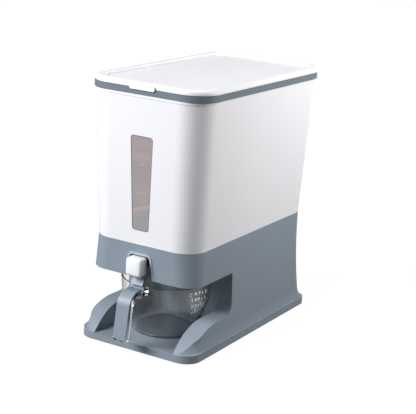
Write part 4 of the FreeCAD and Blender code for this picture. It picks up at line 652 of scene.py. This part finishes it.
class FinishInside(bpy.types.Operator):
    """Plain finishes on the inner pieces, screws and rubber"""
    bl_idname = "dispenser.finish_inside"
    bl_label = "Finish Inner Pieces"

    def execute(self, context):
        dark = moulded_plastic("dark_plastic", (0.045, 0.05, 0.055), roughness=0.5, grain=0.00002)
        frost = moulded_plastic("frost_plastic", (0.62, 0.62, 0.61), roughness=0.45, grain=0.00002)
        rubber = moulded_plastic(
            "black_rubber", (0.02, 0.02, 0.02), roughness=0.8, grain=0.00004, specular=0.2)
        gasket = moulded_plastic(
            "grey_rubber", (0.26, 0.27, 0.28), roughness=0.7, grain=0.00002, specular=0.3)
        steel = drawn_metal("screw_steel", (0.55, 0.56, 0.57), roughness=0.35)
        for node in ("bottom_cover", "outlet_chute", "gate_track", "gate_cover", "gate_slide"):
            paint(node, dark)
        for node in ("bottom_screws", "gate_screws", "bin_screws", "hinge_pins"):
            paint(node, steel)
        paint("hopper_funnel", frost)
        paint("rubber_feet", rubber)
        paint("lid_gasket", gasket)
        return {"FINISHED"}


class FitSprings(bpy.types.Operator):
    """Return springs as steel copies of the packed ones, their shared corners joined"""
    bl_idname = "dispenser.fit_springs"
    bl_label = "Fit Springs"

    def execute(self, context):
        steel = drawn_metal("spring_steel", (0.60, 0.61, 0.62), roughness=0.3)
        for side, sign in (("left", -1), ("right", 1)):
            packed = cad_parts[f"return_spring_{side}"]
            coil = merged_copy(context, packed, f"spring_{side}")
            coil.data.materials.append(steel)
            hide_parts(packed.name)
            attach(coil, "base")
            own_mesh(coil)
        return {"FINISHED"}


def merged_copy(context, packed, name):
    """New object with a packed node's faces, its shared corners joined, at the origin."""
    mesh = packed.data.copy()
    mesh.name = name
    mesh.transform(packed.matrix_world)
    mesh.materials.clear()
    shape = bmesh.new()
    shape.from_mesh(mesh)
    bmesh.ops.remove_doubles(shape, verts=shape.verts, dist=SPRING_MERGE)
    shape.to_mesh(mesh)
    shape.free()
    piece = bpy.data.objects.new(name, mesh)
    context.scene.collection.objects.link(piece)
    return piece


class BuildStudio(bpy.types.Operator):
    """Camera, soft lamps, white room and floor"""
    bl_idname = "dispenser.build_studio"
    bl_label = "Build Studio"

    def execute(self, context):
        look = context.scene.dispenser_studio
        set_camera(context, look)
        for name, place, size, power, colour in LAMPS:
            soft_lamp(context, name, place, size, getattr(look, power), colour)
        light_room(context, look)
        lay_floor(context, look)
        context.scene.view_settings.view_transform = "Standard"
        return {"FINISHED"}


def set_camera(context, look):
    """Camera that looks along its heading, tilted down and rolled a little."""
    turn, tilt, roll = look.camera_turn
    flat = math.cos(tilt)
    ahead = Vector((-math.sin(turn) * flat, math.cos(turn) * flat, -math.sin(tilt)))
    level = ahead.cross(Vector((0, 0, 1))).normalized()
    upright = level.cross(ahead)
    right = math.cos(roll) * level + math.sin(roll) * upright
    up = math.cos(roll) * upright - math.sin(roll) * level
    data = bpy.data.cameras.new("camera")
    data.sensor_width = SENSOR_WIDTH
    data.lens = look.lens
    camera = bpy.data.objects.new("camera", data)
    camera.matrix_world = Matrix((right, up, -ahead)).transposed().to_4x4()
    camera.location = look.camera_place
    context.scene.collection.objects.link(camera)
    context.scene.camera = camera


def soft_lamp(context, name, place, size, power, colour):
    """Rectangular lamp aimed at the middle of the object."""
    data = bpy.data.lights.new(name, "AREA")
    data.shape = "RECTANGLE"
    data.size, data.size_y = size
    data.energy = power
    data.color = colour
    lamp = bpy.data.objects.new(name, data)
    lamp.location = place
    lamp.rotation_euler = (Vector(LAMP_AIM) - Vector(place)).to_track_quat("-Z", "Y").to_euler()
    context.scene.collection.objects.link(lamp)


def seen_through(nodes, link, path, look):
    """1 for a ray straight through clear plastic, the inner glint for one that was mirrored inside it,
    and 0 for any other.  The depth of mirroring is a whole number, so under a half is none."""
    straight = tally(nodes, link, "LESS_THAN", path.outputs["Glossy Depth"], 0.5)
    share = tally(nodes, link, "MAXIMUM", straight, look.inner_glint)
    return tally(nodes, link, "MULTIPLY", path.outputs["Is Transmission Ray"], share)


def light_room(context, look):
    """World that looks white straight on and lights softly."""
    world = bpy.data.worlds.new("room")
    context.scene.world = world
    world.use_nodes = True
    nodes, link = world.node_tree.nodes, world.node_tree.links.new
    nodes.clear()
    output = nodes.new("ShaderNodeOutputWorld")
    path = nodes.new("ShaderNodeLightPath")
    seen, mirrored, lit = (nodes.new("ShaderNodeBackground") for _ in range(3))
    seen.inputs["Strength"].default_value = 1.0
    mirrored.inputs["Strength"].default_value = look.room_gloss
    lit.inputs["Strength"].default_value = look.room_light
    for shade in (seen, mirrored, lit):
        shade.inputs["Color"].default_value = (*WHITE, 1)
    beyond = seen_through(nodes, link, path, look)
    clear = tally(nodes, link, "MAXIMUM", path.outputs["Is Camera Ray"], beyond)
    first, last = nodes.new("ShaderNodeMixShader"), nodes.new("ShaderNodeMixShader")
    link(path.outputs["Is Glossy Ray"], first.inputs["Fac"])
    link(lit.outputs["Background"], first.inputs[1])
    link(mirrored.outputs["Background"], first.inputs[2])
    link(clear, last.inputs["Fac"])
    link(first.outputs["Shader"], last.inputs[1])
    link(seen.outputs["Background"], last.inputs[2])
    link(last.outputs["Shader"], output.inputs["Surface"])


def lay_floor(context, look):
    """Square floor sheet under the object: grey paper that gives off white towards the camera, less by
    a little near the object, where its shadow falls."""
    mesh = bpy.data.meshes.new("floor")
    corners = [(across * FLOOR_REACH, deep * FLOOR_REACH, 0)
               for across, deep in ((-1, -1), (1, -1), (1, 1), (-1, 1))]
    mesh.from_pydata(corners, [], [(0, 1, 2, 3)])
    floor = bpy.data.objects.new("floor", mesh)
    context.scene.collection.objects.link(floor)
    material, nodes, link, shader = new_material("floor_paper")
    shader.inputs["Base Color"].default_value = (FLOOR_GREY, FLOOR_GREY, FLOOR_GREY, 1)
    shader.inputs["Roughness"].default_value = FLOOR_ROUGHNESS
    shader.inputs["Specular IOR Level"].default_value = 0.0
    shader.inputs["Emission Color"].default_value = (*WHITE, 1)
    path = nodes.new("ShaderNodeLightPath")
    beyond = seen_through(nodes, link, path, look)
    seen = tally(nodes, link, "MAXIMUM", path.outputs["Is Camera Ray"], beyond)
    sheen = tally(nodes, link, "MULTIPLY", path.outputs["Is Glossy Ray"], look.room_gloss)
    glow = tally(nodes, link, "MAXIMUM", seen, sheen)
    place = nodes.new("ShaderNodeNewGeometry").outputs["Position"]
    reach = nodes.new("ShaderNodeVectorMath")
    reach.operation = "LENGTH"
    link(place, reach.inputs[0])
    fade = rise(nodes, link, reach.outputs["Value"], FADE_START, FADE_END)
    fade.node.inputs["To Min"].default_value = look.floor_lift
    link(tally(nodes, link, "MULTIPLY", glow, fade), shader.inputs["Emission Strength"])
    mesh.materials.append(material)


# ---------------------------------------------------------------- panel and registering

class DispenserPanel(bpy.types.Panel):
    """Sidebar list of the dispenser's making steps and settings"""
    bl_idname = "VIEW3D_PT_dispenser"
    bl_label = "Dispenser"
    bl_space_type = "VIEW_3D"
    bl_region_type = "UI"
    bl_category = "Dispenser"

    def draw(self, context):
        for step in STEPS:
            self.layout.operator(step.bl_idname)
        for attribute, group in SETTINGS.items():
            box = self.layout.box()
            box.label(text=group.__doc__)
            for name in group.__annotations__:
                box.prop(getattr(context.scene, attribute), name)


SETTINGS = {
    "dispenser_housing": HousingFinish,
    "dispenser_bin": BinFinish,
    "dispenser_button": ButtonShape,
    "dispenser_clear": ClearFinish,
    "dispenser_lip": RecessLip,
    "dispenser_springs": SpringFit,
    "dispenser_studio": StudioSettings,
}
STEPS = (
    FinishHousing,
    BuildRecessLip,
    FinishBin,
    BuildButton,
    FinishClear,
    FinishInside,
    FitSprings,
    BuildStudio,
)


def register():
    for item in (*SETTINGS.values(), *STEPS, DispenserPanel):
        bpy.utils.register_class(item)
    for attribute, group in SETTINGS.items():
        setattr(bpy.types.Scene, attribute, bpy.props.PointerProperty(type=group))


def unregister():
    for attribute in SETTINGS:
        delattr(bpy.types.Scene, attribute)
    for item in reversed((*SETTINGS.values(), *STEPS, DispenserPanel)):
        bpy.utils.unregister_class(item)


def main():
    """Registers everything and makes the pieces in order."""
    register()
    for step in STEPS:
        group, name = step.bl_idname.split(".")
        getattr(getattr(bpy.ops, group), name)()


if __name__ == "__main__":
    main()
